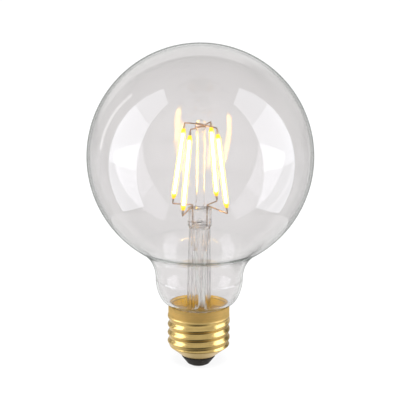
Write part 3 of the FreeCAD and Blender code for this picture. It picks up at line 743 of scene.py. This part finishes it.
class BULB_OT_envelope(bpy.types.Operator):
    """Spins the blown glass globe with its neck"""

    bl_idname = "globe_bulb.envelope"
    bl_label = "Glass Envelope"

    def execute(self, context):
        size = settings().glass
        wall = size.wall
        fillet_axis = size.neck_radius + size.fillet
        rise = size.globe_level - size.neck_level
        slope = math.degrees(math.atan2(rise, fillet_axis))
        turn = math.degrees(size.barrel_turn)
        barrel_axis = size.neck_radius - size.barrel
        corner_axis = barrel_axis + (size.barrel - size.corner) * math.cos(size.barrel_turn)
        root_axis = size.spigot_radius + size.root
        lean = math.acos((root_axis - corner_axis) / (size.corner + size.root))
        corner_level = size.seat_level + size.corner * math.sin(lean)
        root_level = size.seat_level - size.root * math.sin(lean)
        lean = math.degrees(lean)
        globe = (0.0, size.globe_level)
        hollow = (fillet_axis, size.neck_level)
        bulge = (barrel_axis, size.neck_level)
        corner = (corner_axis, corner_level)
        root = (root_axis, root_level)
        outside = joined(
            arc(globe, size.globe_radius, 90, -slope, 72),
            arc(hollow, size.fillet, 180 - slope, 180, 24),
            arc(bulge, size.barrel, 0, -turn, 14),
            arc(corner, size.corner, -turn, -lean, 14),
            arc(root, size.root, 180 - lean, 180, 10),
            run((size.spigot_radius, root_level), (size.spigot_radius, size.seal_level), 4),
        )
        inside = joined(
            run((size.spigot_radius - wall, size.seal_level),
                (size.spigot_radius - wall, root_level), 4),
            arc(root, size.root + wall, 180, 180 - lean, 10),
            arc(corner, size.corner - wall, -lean, -turn, 14),
            arc(bulge, size.barrel - wall, -turn, 0, 14),
            arc(hollow, size.fillet + wall, 180, 180 - slope, 24),
            arc(globe, size.globe_radius - wall, -slope, 90, 72),
        )
        foot = Vector((math.cos(math.radians(slope)), 0.0, -math.sin(math.radians(slope))))
        crease = Vector((0.0, 0.0, size.globe_level)) + foot * (size.globe_radius - wall)
        for point in inside:
            near = (point - crease).length / size.ring_width
            point -= foot * size.ring_swell * math.exp(-near * near)
        envelope = lathe("envelope", outside + inside, size.segments)
        smooth(envelope, 60)
        dress(envelope, blown_glass(), "clear_glass", "glass_envelope")
        return {"FINISHED"}


class BULB_OT_glass_mount(bpy.types.Operator):
    """Makes the flared stem with its press and vent, the pumping tube and the rod with its bead"""

    bl_idname = "globe_bulb.glass_mount"
    bl_label = "Glass Mount"

    def execute(self, context):
        glass = mount_glass()
        dress(self.stem(), glass, "clear_glass", "glass_stem")
        dress(self.exhaust_tube(), glass, "clear_glass", "exhaust_tube")
        dress(self.rod(), glass, "clear_glass", "support_rod")
        return {"FINISHED"}

    def stem(self):
        """The flared stem tube with its press, its vent and the way between vent and pumping tube."""
        size = settings().mount
        glass = settings().glass
        shoulder = 1.6 * MM
        flare_room = 0.3 * MM
        spigot = glass.spigot_radius
        seal = glass.seal_level - SEAM
        flare_foot = seal - size.stem_wall
        flare = spigot - glass.wall - flare_room - size.stem_foot_radius
        flare_axis = (size.stem_foot_radius + flare, seal + flare)
        shoulder_axis = (size.stem_top_radius - shoulder, size.stem_top - shoulder)
        bore_top = size.stem_top - size.crown
        bore_radius = size.stem_top_radius - size.stem_wall
        profile = joined(
            run((0.0, size.stem_top), (shoulder_axis[0], size.stem_top), 3),
            arc(shoulder_axis, shoulder, 90, 0, 10),
            run((size.stem_top_radius, shoulder_axis[1]), (size.stem_foot_radius, flare_axis[1]), 12),
            arc(flare_axis, flare, 180, 270, 20),
            path((flare_axis[0], seal), ((spigot, seal), 2), ((spigot, flare_foot), 2),
                 ((flare_axis[0], flare_foot), 2)),
            arc(flare_axis, flare + size.stem_wall, 270, 180, 20),
            path((size.stem_foot_radius - size.stem_wall, flare_axis[1]), ((bore_radius, bore_top), 12),
                 ((0.0, bore_top), 3)),
        )
        stem = lathe("stem", profile, 96)
        carve(stem, self.press(), "UNION")
        carve(stem, self.vent(), "DIFFERENCE")
        carve(stem, self.channel(bore_top), "DIFFERENCE")
        return smooth(stem, 35)

    def press(self):
        """The flat press with its round ends and softened top edge."""
        size = settings().mount
        edge = 0.5 * MM
        half_depth = size.press_depth / 2
        lean = math.degrees(math.asin(half_depth / size.press_end))
        reach = size.press_width / 2 - math.sqrt(size.press_end ** 2 - half_depth ** 2)
        foot = size.stem_top - size.crown / 2
        outline = []
        for side, shift in ((0, reach), (180, -reach)):
            for point in arc((0.0, 0.0), size.press_end, side - lean, side + lean, 12):
                outline.append(Vector((point.x + shift, point.z, foot)))
        press = trace("press", outline + outline[:1])
        merge_doubles()
        bpy.ops.mesh.edge_face_add()
        bpy.ops.mesh.extrude_region_move(TRANSFORM_OT_translate={"value": (0, 0, size.press_top - foot)})
        bpy.ops.mesh.bevel(offset=edge, segments=4, affect="EDGES")
        bpy.ops.mesh.select_all(action="SELECT")
        bpy.ops.mesh.normals_make_consistent(inside=False)
        put_down()
        return press

    def vent(self):
        """The tool that opens the pumping hole, flared like the blown hole."""
        size = settings().mount
        half = size.press_depth / 2
        lip = 0.5 * MM
        radius = size.vent_radius
        profile = joined(
            path((0.0, 0.0), ((radius, 0.0), 2), ((radius, half - lip), 3)),
            arc((radius + lip, half - lip), lip, 180, 90, 6),
            path((radius + lip, half), ((radius + lip, half + lip), 1), ((0.0, half + lip), 2)),
        )
        vent = lathe("vent", profile, 32)
        turn = Matrix.Rotation(math.radians(90), 4, "X")
        return place(vent, Matrix.Translation((0, 0, size.vent_level)) @ turn)

    def channel(self, bore_top):
        """The tool that opens the way from the pumping tube to the vent."""
        size = settings().mount
        overlap = 0.2 * MM
        put_down()
        bpy.ops.mesh.primitive_cylinder_add(
            vertices=32, radius=size.exhaust_bore, depth=size.vent_level - bore_top + overlap,
            location=(0, 0, (size.vent_level + bore_top - overlap) / 2))
        channel = bpy.context.object
        return place(channel, channel.matrix_world.copy())

    def exhaust_tube(self):
        """The pumping tube with its sealed round tip."""
        size = settings().mount
        outside, bore = size.exhaust_radius, size.exhaust_bore
        top = size.stem_top - size.crown - SEAM
        tip = (0.0, size.exhaust_tip + outside)
        profile = joined(
            arc(tip, outside, -90, 0, 12),
            path((outside, tip[1]), ((outside, top), 16), ((bore, top), 2), ((bore, tip[1]), 16)),
            arc(tip, bore, 0, -90, 12),
        )
        return smooth(lathe("pumping_tube", profile, 48), 45)

    def rod(self):
        """The glass rod with its skirt on the press and its bead at the top."""
        size = settings().mount
        skirt = 0.35 * MM
        foot = size.press_top + SEAM
        lean = math.degrees(math.asin(size.rod_radius / size.bead_radius))
        bead = (0.0, size.bead_level)
        bead_foot = size.bead_level - size.bead_radius * math.cos(math.radians(lean))
        profile = joined(
            run((0.0, foot), (size.rod_radius + skirt, foot), 3),
            arc((size.rod_radius + skirt, foot + skirt), skirt, 270, 180, 6),
            run((size.rod_radius, foot + skirt), (size.rod_radius, bead_foot), 20),
            arc(bead, size.bead_radius, lean - 90, 90, 24),
        )
        return smooth(lathe("rod", profile, 64), 60)


class BULB_OT_filaments(bpy.types.Operator):
    """Makes the four lit filaments with their pins"""

    bl_idname = "globe_bulb.filaments"
    bl_label = "Filaments"

    def execute(self, context):
        look = settings().finish
        finishes = (
            lit_core(),
            glowing_coat("lit_coating", look.coat_glow, look.coat_strength, look.coat_veil),
            glowing_coat("coating_tip", look.tip_glow, look.tip_strength, 0.0),
        )
        metal = plain_finish("plated_pin", (0.50, 0.42, 0.33), 0.34, 900.0, metallic=1.0, contrast=0.3)
        carrier = plain_finish("chip_carrier", (0.80, 0.78, 0.70), 0.6, 1200.0)
        for index in range(FILAMENTS):
            filament = f"filament_{index + 1}"
            coating = place(self.coating(f"{filament}_glow", finishes), filament_frame(index))
            dress(coating, None, "lit_phosphor", f"{filament}_coating")
            pins = place(self.pins(f"{filament}_tabs"), filament_frame(index))
            dress(pins, metal, "filament_pin", f"{filament}_pins")
            repaint(f"{filament}_strip", carrier)
        return {"FINISHED"}

    def coating(self, name, finishes):
        """One coating round its lit core, standing on the origin."""
        size = settings().filament
        edge = 0.25 * MM
        full = size.length
        tip = size.tip_length
        flat = size.tip_radius - edge
        profile = joined(
            run((0.0, 0.0), (flat, 0.0), 2),
            arc((flat, edge), edge, 270, 360, 4),
            path((size.tip_radius, edge), ((size.radius, tip), 4), ((size.radius, full - tip), 24),
                 ((size.tip_radius, full - edge), 4)),
            arc((flat, full - edge), edge, 0, 90, 4),
            run((flat, full), (0.0, full), 2),
        )
        coating = lathe(name, profile, 40)
        for finish in finishes:
            coating.data.materials.append(finish)
        for face in coating.data.polygons:
            face.material_index = 1 if tip < face.center.z < full - tip else 2
        radius = size.core_radius
        foot, top = size.core_inset, full - size.core_inset
        line = path((0.0, foot), ((radius, foot), 2), ((radius, top), 8), ((0.0, top), 2))
        core = lathe(f"{name}_core", joined(line), 24)
        core.data.materials.append(finishes[0])
        pick_up(core)
        coating.select_set(True)
        bpy.context.view_layer.objects.active = coating
        bpy.ops.object.join()
        return smooth(coating, 50)

    def pins(self, name):
        """The two flat pins of a filament, with their edges broken."""
        size = settings().filament
        edge = 0.08 * MM
        full = size.pin_reach + size.pin_inset
        shift = size.length + size.pin_reach - size.pin_inset
        put_down()
        bpy.ops.mesh.primitive_cube_add(size=1.0)
        pins = bpy.context.object
        pins.name = name
        pins.data.name = name
        bpy.ops.object.mode_set(mode="EDIT")
        bpy.ops.transform.resize(value=(size.strip_width, size.strip_depth, full))
        bpy.ops.mesh.bevel(offset=edge, segments=2, affect="EDGES")
        bpy.ops.transform.translate(value=(0, 0, full / 2 - size.pin_reach))
        bpy.ops.mesh.select_all(action="SELECT")
        bpy.ops.mesh.duplicate_move(TRANSFORM_OT_translate={"value": (0, 0, shift)})
        put_down()
        return smooth(pins, 35)


class BULB_OT_wires(bpy.types.Operator):
    """Bends the top wires, the leads with their sleeves and the branch wires"""

    bl_idname = "globe_bulb.wires"
    bl_label = "Mount Wires"

    def execute(self, context):
        metal = drawn_wire()
        sleeve = woven_sleeve()
        self.top_wires(metal)
        for word, side, lead_to, branch_to in (("left", -1, 2, 1), ("right", 1, 3, 0)):
            self.lead(word, side, lead_to, metal, sleeve)
            self.branch(word, side, branch_to, metal)
        return {"FINISHED"}

    def top_wires(self, metal):
        """The two wires that cross in the bead."""
        size = settings().mount
        offset = size.wire_radius + size.wire_gap
        for word, shift, index in (("lower", -offset, 0), ("upper", offset, 1)):
            near, near_corner = pin_end(index, True)
            far, far_corner = pin_end(index + 2, True)
            bearing = filament_axis(index)[2]
            out = Vector((math.cos(bearing), math.sin(bearing), 0.0)) * size.bead_radius * 2
            level = Vector((0, 0, size.bead_level + shift))
            route = [near, near_corner, level + out, level - out, far_corner, far]
            wire = bend_wire(f"cross_wire_{word}", route, size.wire_radius)
            dress(wire, metal, "nickel_wire", f"top_wire_{word}")

    def lead(self, word, side, filament, metal, sleeve):
        """A lead from the driver up through the stem to a front filament, with its sleeve."""
        size = settings().mount
        low_turn, high_turn = {"left": (-78, -125), "right": (-48, -40)}[word]
        board_side, board_back, board_level = side * 5.2 * MM, 3.0 * MM, 16.9 * MM
        low_rise, high_rise = 7.0 * MM, 27.0 * MM
        sleeve_start, sleeve_end, sleeve_bend = 0.2, 0.3, 2.0 * MM
        gap = (size.stem_top_radius - size.stem_wall + size.exhaust_radius) / 2
        seal = settings().glass.seal_level - SEAM
        straight_from = size.stem_top - size.crown - 3.5 * MM
        press_hole, bend = self.press_wire(side, 0.0, straight_from)
        route = [
            Vector((board_side, board_back, board_level)),
            Vector((board_side, 0.0, board_level)),
            self.polar(gap, low_turn, seal + low_rise),
            self.polar(gap, high_turn, seal + high_rise),
            press_hole,
            bend,
        ]
        end, corner = pin_end(filament, False)
        wire = bend_wire(f"lead_{word}", [*route, corner, end], size.wire_radius)
        dress(wire, metal, "nickel_wire", f"lead_wire_{word}")
        start = route[1].lerp(route[2], sleeve_start)
        stop = route[3].lerp(route[4], sleeve_end)
        covered = [start, route[2], route[3], stop]
        cover = bend_wire(f"sleeve_{word}", covered, size.sleeve_radius, sleeve_bend, sides=16)
        dress(cover, sleeve, "white_sleeve", f"lead_sleeve_{word}")

    def branch(self, word, side, filament, metal):
        """A second wire held in the press, to a back filament."""
        size = settings().mount
        end, corner = pin_end(filament, False)
        depth = size.wire_radius * 2 + size.wire_gap
        held = 2.5 * MM
        foot, bend = self.press_wire(side, depth, size.press_top - held)
        wire = bend_wire(f"branch_{word}", [foot, bend, corner, end], size.wire_radius)
        dress(wire, metal, "nickel_wire", f"branch_wire_{word}")

    @staticmethod
    def press_wire(side, depth, foot):
        """The upright part of a wire in the press: its foot and the bend above the press."""
        reach, rise = 3.0 * MM, 0.9 * MM
        bend_level = settings().mount.press_top + rise
        return Vector((side * reach, depth, foot)), Vector((side * reach, depth, bend_level))

    @staticmethod
    def polar(radius, degrees, height):
        """A point at a bearing and a distance from the axis."""
        turn = math.radians(degrees)
        return Vector((radius * math.cos(turn), radius * math.sin(turn), height))


class BULB_OT_cap(bpy.types.Operator):
    """Rolls the threaded gold shell and makes the insulator and the contact"""

    bl_idname = "globe_bulb.cap"
    bl_label = "Screw Cap"

    def execute(self, context):
        self.shell()
        self.insulator()
        self.contact()
        repaint("cap_cement", clear_adhesive())
        return {"FINISHED"}

    def shell(self):
        """The thin shell: cone, thread and collar, with its own finish inside."""
        size = settings().cap
        profile = joined(
            path((size.mouth_radius, size.mouth_level), ((size.crest_radius, size.thread_foot), 24),
                 ((size.crest_radius, size.collar_foot), 84)),
            run((size.collar_radius, size.collar_foot), (size.collar_radius, size.rim_level), 16),
        )
        shell = lathe("screw_shell", profile, size.segments)
        self.roll_thread(shell)
        pick_up(shell)
        bpy.ops.object.modifier_add(type="SOLIDIFY")
        wall = shell.modifiers[-1]
        wall.thickness = size.sheet
        wall.offset = -1.0
        wall.material_offset = 1
        shell.data.materials.append(gold_sheet())
        shell.data.materials.append(inner_gold())
        bpy.ops.object.modifier_apply(modifier=wall.name)
        smooth(shell, 50)
        dress(shell, None, "gold_shell", "cap_shell")

    def roll_thread(self, shell):
        """Presses the thread into the plain shell, running out into the collar and the cone."""
        size = settings().cap
        groove_fade, trace_fade = 0.12, 0.2
        land_lead, land_width = 0.6 * MM, 1.0 * MM
        foot_round = 0.5 * MM
        slope = (size.crest_radius - size.mouth_radius) / (size.thread_foot - size.mouth_level)
        for vertex in shell.data.vertices:
            x, y, z = vertex.co
            turn = math.atan2(y, x) / math.tau
            phase = (z - size.crest_level) / size.pitch - turn
            along = turn + math.floor(phase)
            full = self.ease((size.thread_end / math.tau - along) / groove_fade)
            faint = self.ease((size.trace_end / math.tau - along) / trace_fade)
            left = full + (faint - full) * size.trace_depth
            groove = (0.5 - 0.5 * math.cos(math.tau * phase)) * left
            land = self.ease((z - size.collar_foot + land_lead) / land_width)
            barrel = size.crest_radius + (size.collar_radius - size.crest_radius) * land
            cone = size.mouth_radius + slope * (z - size.mouth_level)
            radius = self.soft_least(barrel - size.groove * groove, cone, foot_round)
            scale = radius / math.hypot(x, y)
            vertex.co = (x * scale, y * scale, z)
        shell.data.update()

    @staticmethod
    def ease(value):
        """A soft step from nought to one."""
        value = min(1.0, max(0.0, value))
        return value * value * (3.0 - 2.0 * value)

    @staticmethod
    def soft_least(first, second, width):
        """The lesser of two values with a rounded change between them."""
        near = max(0.0, 1.0 - abs(first - second) / width)
        return min(first, second) - near * near * width * 0.25

    def insulator(self):
        """The black insulator: a rounded foot, a lip under the shell and a flange inside it."""
        size = settings().cap
        foot, hole = 1.1 * MM, 2.0 * MM
        foot_radius, foot_round = 4.2 * MM, 0.7 * MM
        lip = 0.4 * MM
        flange_foot, flange_radius = 6.8 * MM, 8.6 * MM
        top = size.mouth_level
        flange_edge, flange_top = top + 1.5 * MM, top + 1.6 * MM
        profile = joined(
            run((hole, foot), (foot_radius, foot), 3),
            arc((foot_radius, foot + foot_round), foot_round, 270, 325, 6),
            arc((size.mouth_radius - lip, top - lip), lip, 330, 450, 8),
            run((flange_foot, top), (flange_radius, flange_edge), 4),
            run((flange_radius, flange_top), (hole, flange_top), 3),
        )
        insulator = lathe("insulator", profile, 96, closed=True)
        smooth(insulator, 35)
        dress(insulator, black_moulding(), "black_insulator", "cap_insulator")

    def contact(self):
        """The riveted contact with its domed face and its hollow post."""
        edge, radius, top = 0.22 * MM, 3.3 * MM, 1.08 * MM
        sag = 0.5 * MM
        post, post_top = 2.0 * MM, 6.5 * MM
        bore, bore_foot = 0.6 * MM, 0.6 * MM
        dome = (radius ** 2 + sag ** 2) / (2 * sag)
        lean = math.degrees(math.asin((radius - edge) / dome))
        profile = joined(
            arc((0.0, dome), dome, 270, 270 + lean, 14),
            arc((radius - edge, sag + edge), edge, 290, 360, 4),
            path((radius, sag + edge), ((radius, top), 2), ((post, top), 2), ((post, post_top), 4),
                 ((bore, post_top), 2), ((bore, bore_foot), 4), ((0.0, bore_foot), 2)),
        )
        contact = lathe("contact", profile, 64)
        smooth(contact, 40)
        dress(contact, dull_solder(), "contact_metal", "centre_contact")


class BULB_OT_driver(bpy.types.Operator):
    """Finishes the driver's parts inside the cap"""

    bl_idname = "globe_bulb.driver"
    bl_label = "Driver"

    def execute(self, context):
        repaint("driver_board", plain_finish("board_green", (0.08, 0.26, 0.11), 0.38, 700.0))
        black = plain_finish("moulded_package", (0.035, 0.035, 0.04), 0.5, 2200.0)
        repaint("driver_chip", black)
        repaint("bridge_rectifier", black)
        repaint("smoothing_capacitor", plain_finish("capacitor_sleeve", (0.05, 0.06, 0.11), 0.3, 1500.0))
        repaint("fusible_resistor", plain_finish("resistor_coat", (0.24, 0.38, 0.26), 0.45, 1800.0))
        repaint("shell_wire", bpy.data.materials["mount_wire"])
        return {"FINISHED"}


class BULB_OT_stage(bpy.types.Operator):
    """Sets the floor, the softboxes, the surroundings and the camera"""

    bl_idname = "globe_bulb.stage"
    bl_label = "Stage"

    def execute(self, context):
        self.floor()
        self.card()
        self.softboxes()
        self.strip()
        self.fill()
        self.surroundings()
        self.camera()
        context.scene.view_settings.view_transform = "Standard"
        cycles = context.scene.cycles
        cycles.max_bounces = 28
        cycles.transmission_bounces = 28
        cycles.transparent_max_bounces = 28
        cycles.glossy_bounces = 8
        cycles.caustics_reflective = False
        cycles.caustics_refractive = False
        return {"FINISHED"}

    def floor(self):
        """A white floor, plain white to the camera and grey from the sides through the glass."""
        stage = settings().stage
        floor_size, drop = 8.0, 0.2 * MM
        deep_share = 0.45
        aside_edge = (0.30, 0.08)
        far_edge = (0.1, 0.5)
        put_down()
        bpy.ops.mesh.primitive_plane_add(size=floor_size)
        floor = place(bpy.context.object, Matrix.Translation((0, 0, -drop)))
        floor.name = "floor"
        floor.visible_glossy = False
        finish = Finish("white_floor")
        finish.set(base_color=stage.floor, roughness=0.6)
        side, back, _ = finish.axes(finish.place())
        light = finish.add("ShaderNodeLightPath").outputs
        to_camera, through = light["Is Camera Ray"], light["Is Transmission Ray"]
        deep = finish.math("MULTIPLY", finish.math("ABSOLUTE", back), deep_share)
        aside = finish.math("SUBTRACT", finish.math("ABSOLUTE", side), deep)
        lit = finish.math("MULTIPLY", through, finish.fade(aside, *aside_edge, stage.aside, 1.0))
        white = finish.math("MULTIPLY", finish.fade(back, *far_edge, stage.floor_near, stage.floor_far),
                            finish.math("MAXIMUM", to_camera, lit))
        glow = finish.add("ShaderNodeEmission")
        finish.join(white, glow.inputs["Strength"])
        seen = finish.math("MAXIMUM", to_camera, through)
        finish.mix(finish.math("MULTIPLY", seen, stage.floor_share), glow.outputs["Emission"])
        floor.data.materials.append(finish.material)

    def card(self):
        """White card only shiny things mirror; painted shadow before and under the cap, dark behind it."""
        stage = settings().stage
        drop = 0.1 * MM
        middle, before = (0.0, 0.0, 0.0), (0.0, -32.0 * MM, 0.0)
        before_edge = (33.0 * MM, 14.0 * MM)
        contact_shadow_edge, contact_shadow_share = (9.0 * MM, 3.0 * MM), 0.5
        right_edge, back_edge, outer_edge = (5.0 * MM, 30.0 * MM), (0.0, 30.0 * MM), (75.0 * MM, 55.0 * MM)
        put_down()
        bpy.ops.mesh.primitive_circle_add(vertices=64, radius=stage.card_radius, fill_type="NGON")
        card = place(bpy.context.object, Matrix.Translation((0, 0, -drop)))
        card.name = "card"
        for kind in ("camera", "diffuse", "transmission", "shadow"):
            setattr(card, f"visible_{kind}", False)
        finish = Finish("mirrored_card")
        spot = finish.place()
        side, back, _ = finish.axes(spot)
        reach = finish.distance(spot, middle)
        # Painted shadow: the card is dark before the cap and round its foot, for the bulb's shadow on the
        # table.
        painted_front_shadow = finish.fade(finish.distance(spot, before), *before_edge)
        under = finish.fade(reach, *contact_shadow_edge, 0.0, contact_shadow_share)
        corner = finish.math("MULTIPLY", finish.fade(side, *right_edge), finish.fade(back, *back_edge))
        beyond = finish.math("MULTIPLY", corner, finish.fade(reach, *outer_edge))
        dark = finish.math("MAXIMUM", finish.math("MAXIMUM", painted_front_shadow, under), beyond)
        glow = finish.add("ShaderNodeEmission")
        finish.join(finish.spread(dark, stage.card_light, stage.card_dark), glow.inputs["Strength"])
        finish.join(glow.outputs["Emission"], finish.output.inputs["Surface"])
        card.data.materials.append(finish.material)

    def softboxes(self):
        """Two tall softboxes on either side, the upper one weaker."""
        stage = settings().stage
        rows = (("lower", stage.lower_height, stage.lower_power),
                ("upper", stage.upper_height, stage.upper_power))
        sides = (("left", -1, stage.box_back_left), ("right", 1, stage.box_back_right))
        foot = stage.lower_foot
        for row, height, power in rows:
            for word, side, reach in sides:
                back = (reach - stage.box_front) / 2
                away = Vector((side * stage.box_distance, back, foot + height / 2))
                width = stage.box_front + reach
                lamp = self.panel(f"softbox_{row}_{word}", away, width, height, power * width)
                lamp.data.color = stage.box_colour
                lamp.rotation_euler = Vector((-side, 0, 0)).to_track_quat("-Z", "Y").to_euler()
            foot += height

    def strip(self):
        """A narrow light behind the bulb on the left, for the streak along the glass."""
        stage = settings().stage
        bearing = stage.strip_bearing
        away = Vector((-math.sin(bearing), -math.cos(bearing), 0.0)) * stage.strip_distance
        away.z = stage.strip_rise
        self.panel("strip", away, stage.strip_width, stage.strip_height, stage.strip_power)

    def fill(self):
        """A soft light over the camera that lights matt things only."""
        stage = settings().stage
        away = Vector((0.0, -math.cos(stage.fill_rise), math.sin(stage.fill_rise))) * stage.fill_distance
        lamp = self.panel("fill", away, stage.fill_size, stage.fill_size, stage.fill_power)
        lamp.visible_glossy = False
        lamp.visible_transmission = False

    @staticmethod
    def panel(name, away, width, height, power):
        """An area light at a distance from the middle of the globe, turned towards it."""
        middle = Vector((0.0, 0.0, settings().glass.globe_level))
        aim = (-away).to_track_quat("-Z", "Y")
        bpy.ops.object.light_add(type="AREA", location=middle + away, rotation=aim.to_euler())
        lamp = bpy.context.object
        lamp.name = name
        lamp.data.shape = "RECTANGLE"
        lamp.data.size = width
        lamp.data.size_y = height
        lamp.data.energy = power
        lamp.visible_camera = False
        return lamp

    def surroundings(self):
        """White for the camera and through the glass, a dim studio for reflections."""
        stage = settings().stage
        lifted, not_right, far_back = (-0.05, 0.2), (0.45, 0.25), (0.70, 0.78)
        leftward, forward = (-0.2, -0.5), (-0.1, -0.5)
        along_view, below_top = (0.45, 0.75), (0.6, 0.3)
        world = bpy.data.worlds.new("studio")
        bpy.context.scene.world = world
        world.use_nodes = True
        tree = Tree(world.node_tree)
        side, back, rise = tree.axes(tree.add("ShaderNodeTexCoord").outputs["Generated"])
        light = tree.add("ShaderNodeLightPath").outputs
        raised = tree.math("MULTIPLY", tree.fade(rise, *lifted), tree.fade(side, *not_right))
        high = tree.spread(raised, stage.backdrop, stage.crown)
        behind = tree.math("MULTIPLY", tree.fade(back, *far_back), high)
        around = tree.fade(side, *leftward, stage.room, stage.room_left)
        before = tree.math("MAXIMUM", around, tree.fade(back, *forward, 0.0, stage.front))
        clear = tree.fade(tree.math("ABSOLUTE", back), *along_view, stage.aside, 1.0)
        open_glass = tree.math("MULTIPLY", clear, tree.fade(rise, *below_top))
        through = tree.math("MULTIPLY", light["Is Transmission Ray"], open_glass)
        seen = tree.math("MAXIMUM", light["Is Camera Ray"], through)
        shown = tree.math("MAXIMUM", tree.math("MAXIMUM", behind, before), seen)
        background = tree.nodes["Background"]
        background.inputs["Color"].default_value = (1.0, 1.0, 1.0, 1.0)
        tree.join(shown, background.inputs["Strength"])

    def camera(self):
        """The camera before the bulb, looking down at it."""
        stage = settings().stage
        drop = stage.camera_drop
        aim = Vector((stage.aim_side, 0.0, stage.aim_level))
        back = Vector((0.0, -math.cos(drop), math.sin(drop))) * stage.distance
        turn = (-back).to_track_quat("-Z", "Y") @ Quaternion((0, 0, 1), stage.camera_roll)
        bpy.ops.object.camera_add(location=aim + back, rotation=turn.to_euler())
        camera = bpy.context.object
        camera.name = "camera"
        camera.data.sensor_width = 36.0
        camera.data.lens = stage.lens
        camera.data.clip_start = 0.05
        bpy.context.scene.camera = camera


class BULB_PT_panel(bpy.types.Panel):
    """Lists the steps and the settings"""

    bl_idname = "BULB_PT_panel"
    bl_label = "Globe Bulb"
    bl_space_type = "VIEW_3D"
    bl_region_type = "UI"
    bl_category = "Globe Bulb"

    def draw(self, context):
        layout = self.layout
        for step in STEPS:
            layout.operator(step.bl_idname)
        for group in ("glass", "cap", "mount", "filament", "finish", "stage"):
            values = getattr(settings(), group)
            box = layout.box()
            for name in values.__annotations__:
                box.prop(values, name)


STEPS = (
    BULB_OT_envelope,
    BULB_OT_glass_mount,
    BULB_OT_filaments,
    BULB_OT_wires,
    BULB_OT_cap,
    BULB_OT_driver,
    BULB_OT_stage,
)

CLASSES = (
    GlassSizes,
    CapSizes,
    MountSizes,
    FilamentSizes,
    Finishes,
    StageSettings,
    BulbSettings,
    *STEPS,
    BULB_PT_panel,
)


def register():
    """Adds the classes and the settings."""
    for item in CLASSES:
        bpy.utils.register_class(item)
    bpy.types.Scene.globe_bulb = PointerProperty(type=BulbSettings, name="Globe bulb",
                                                 description="Settings of the globe bulb")


def unregister():
    """Takes the settings and the classes away."""
    del bpy.types.Scene.globe_bulb
    for item in reversed(CLASSES):
        bpy.utils.unregister_class(item)


def main():
    """Builds the bulb and its stage."""
    register()
    bpy.ops.globe_bulb.envelope()
    bpy.ops.globe_bulb.glass_mount()
    bpy.ops.globe_bulb.filaments()
    bpy.ops.globe_bulb.wires()
    bpy.ops.globe_bulb.cap()
    bpy.ops.globe_bulb.driver()
    bpy.ops.globe_bulb.stage()


if __name__ == "__main__":
    main()
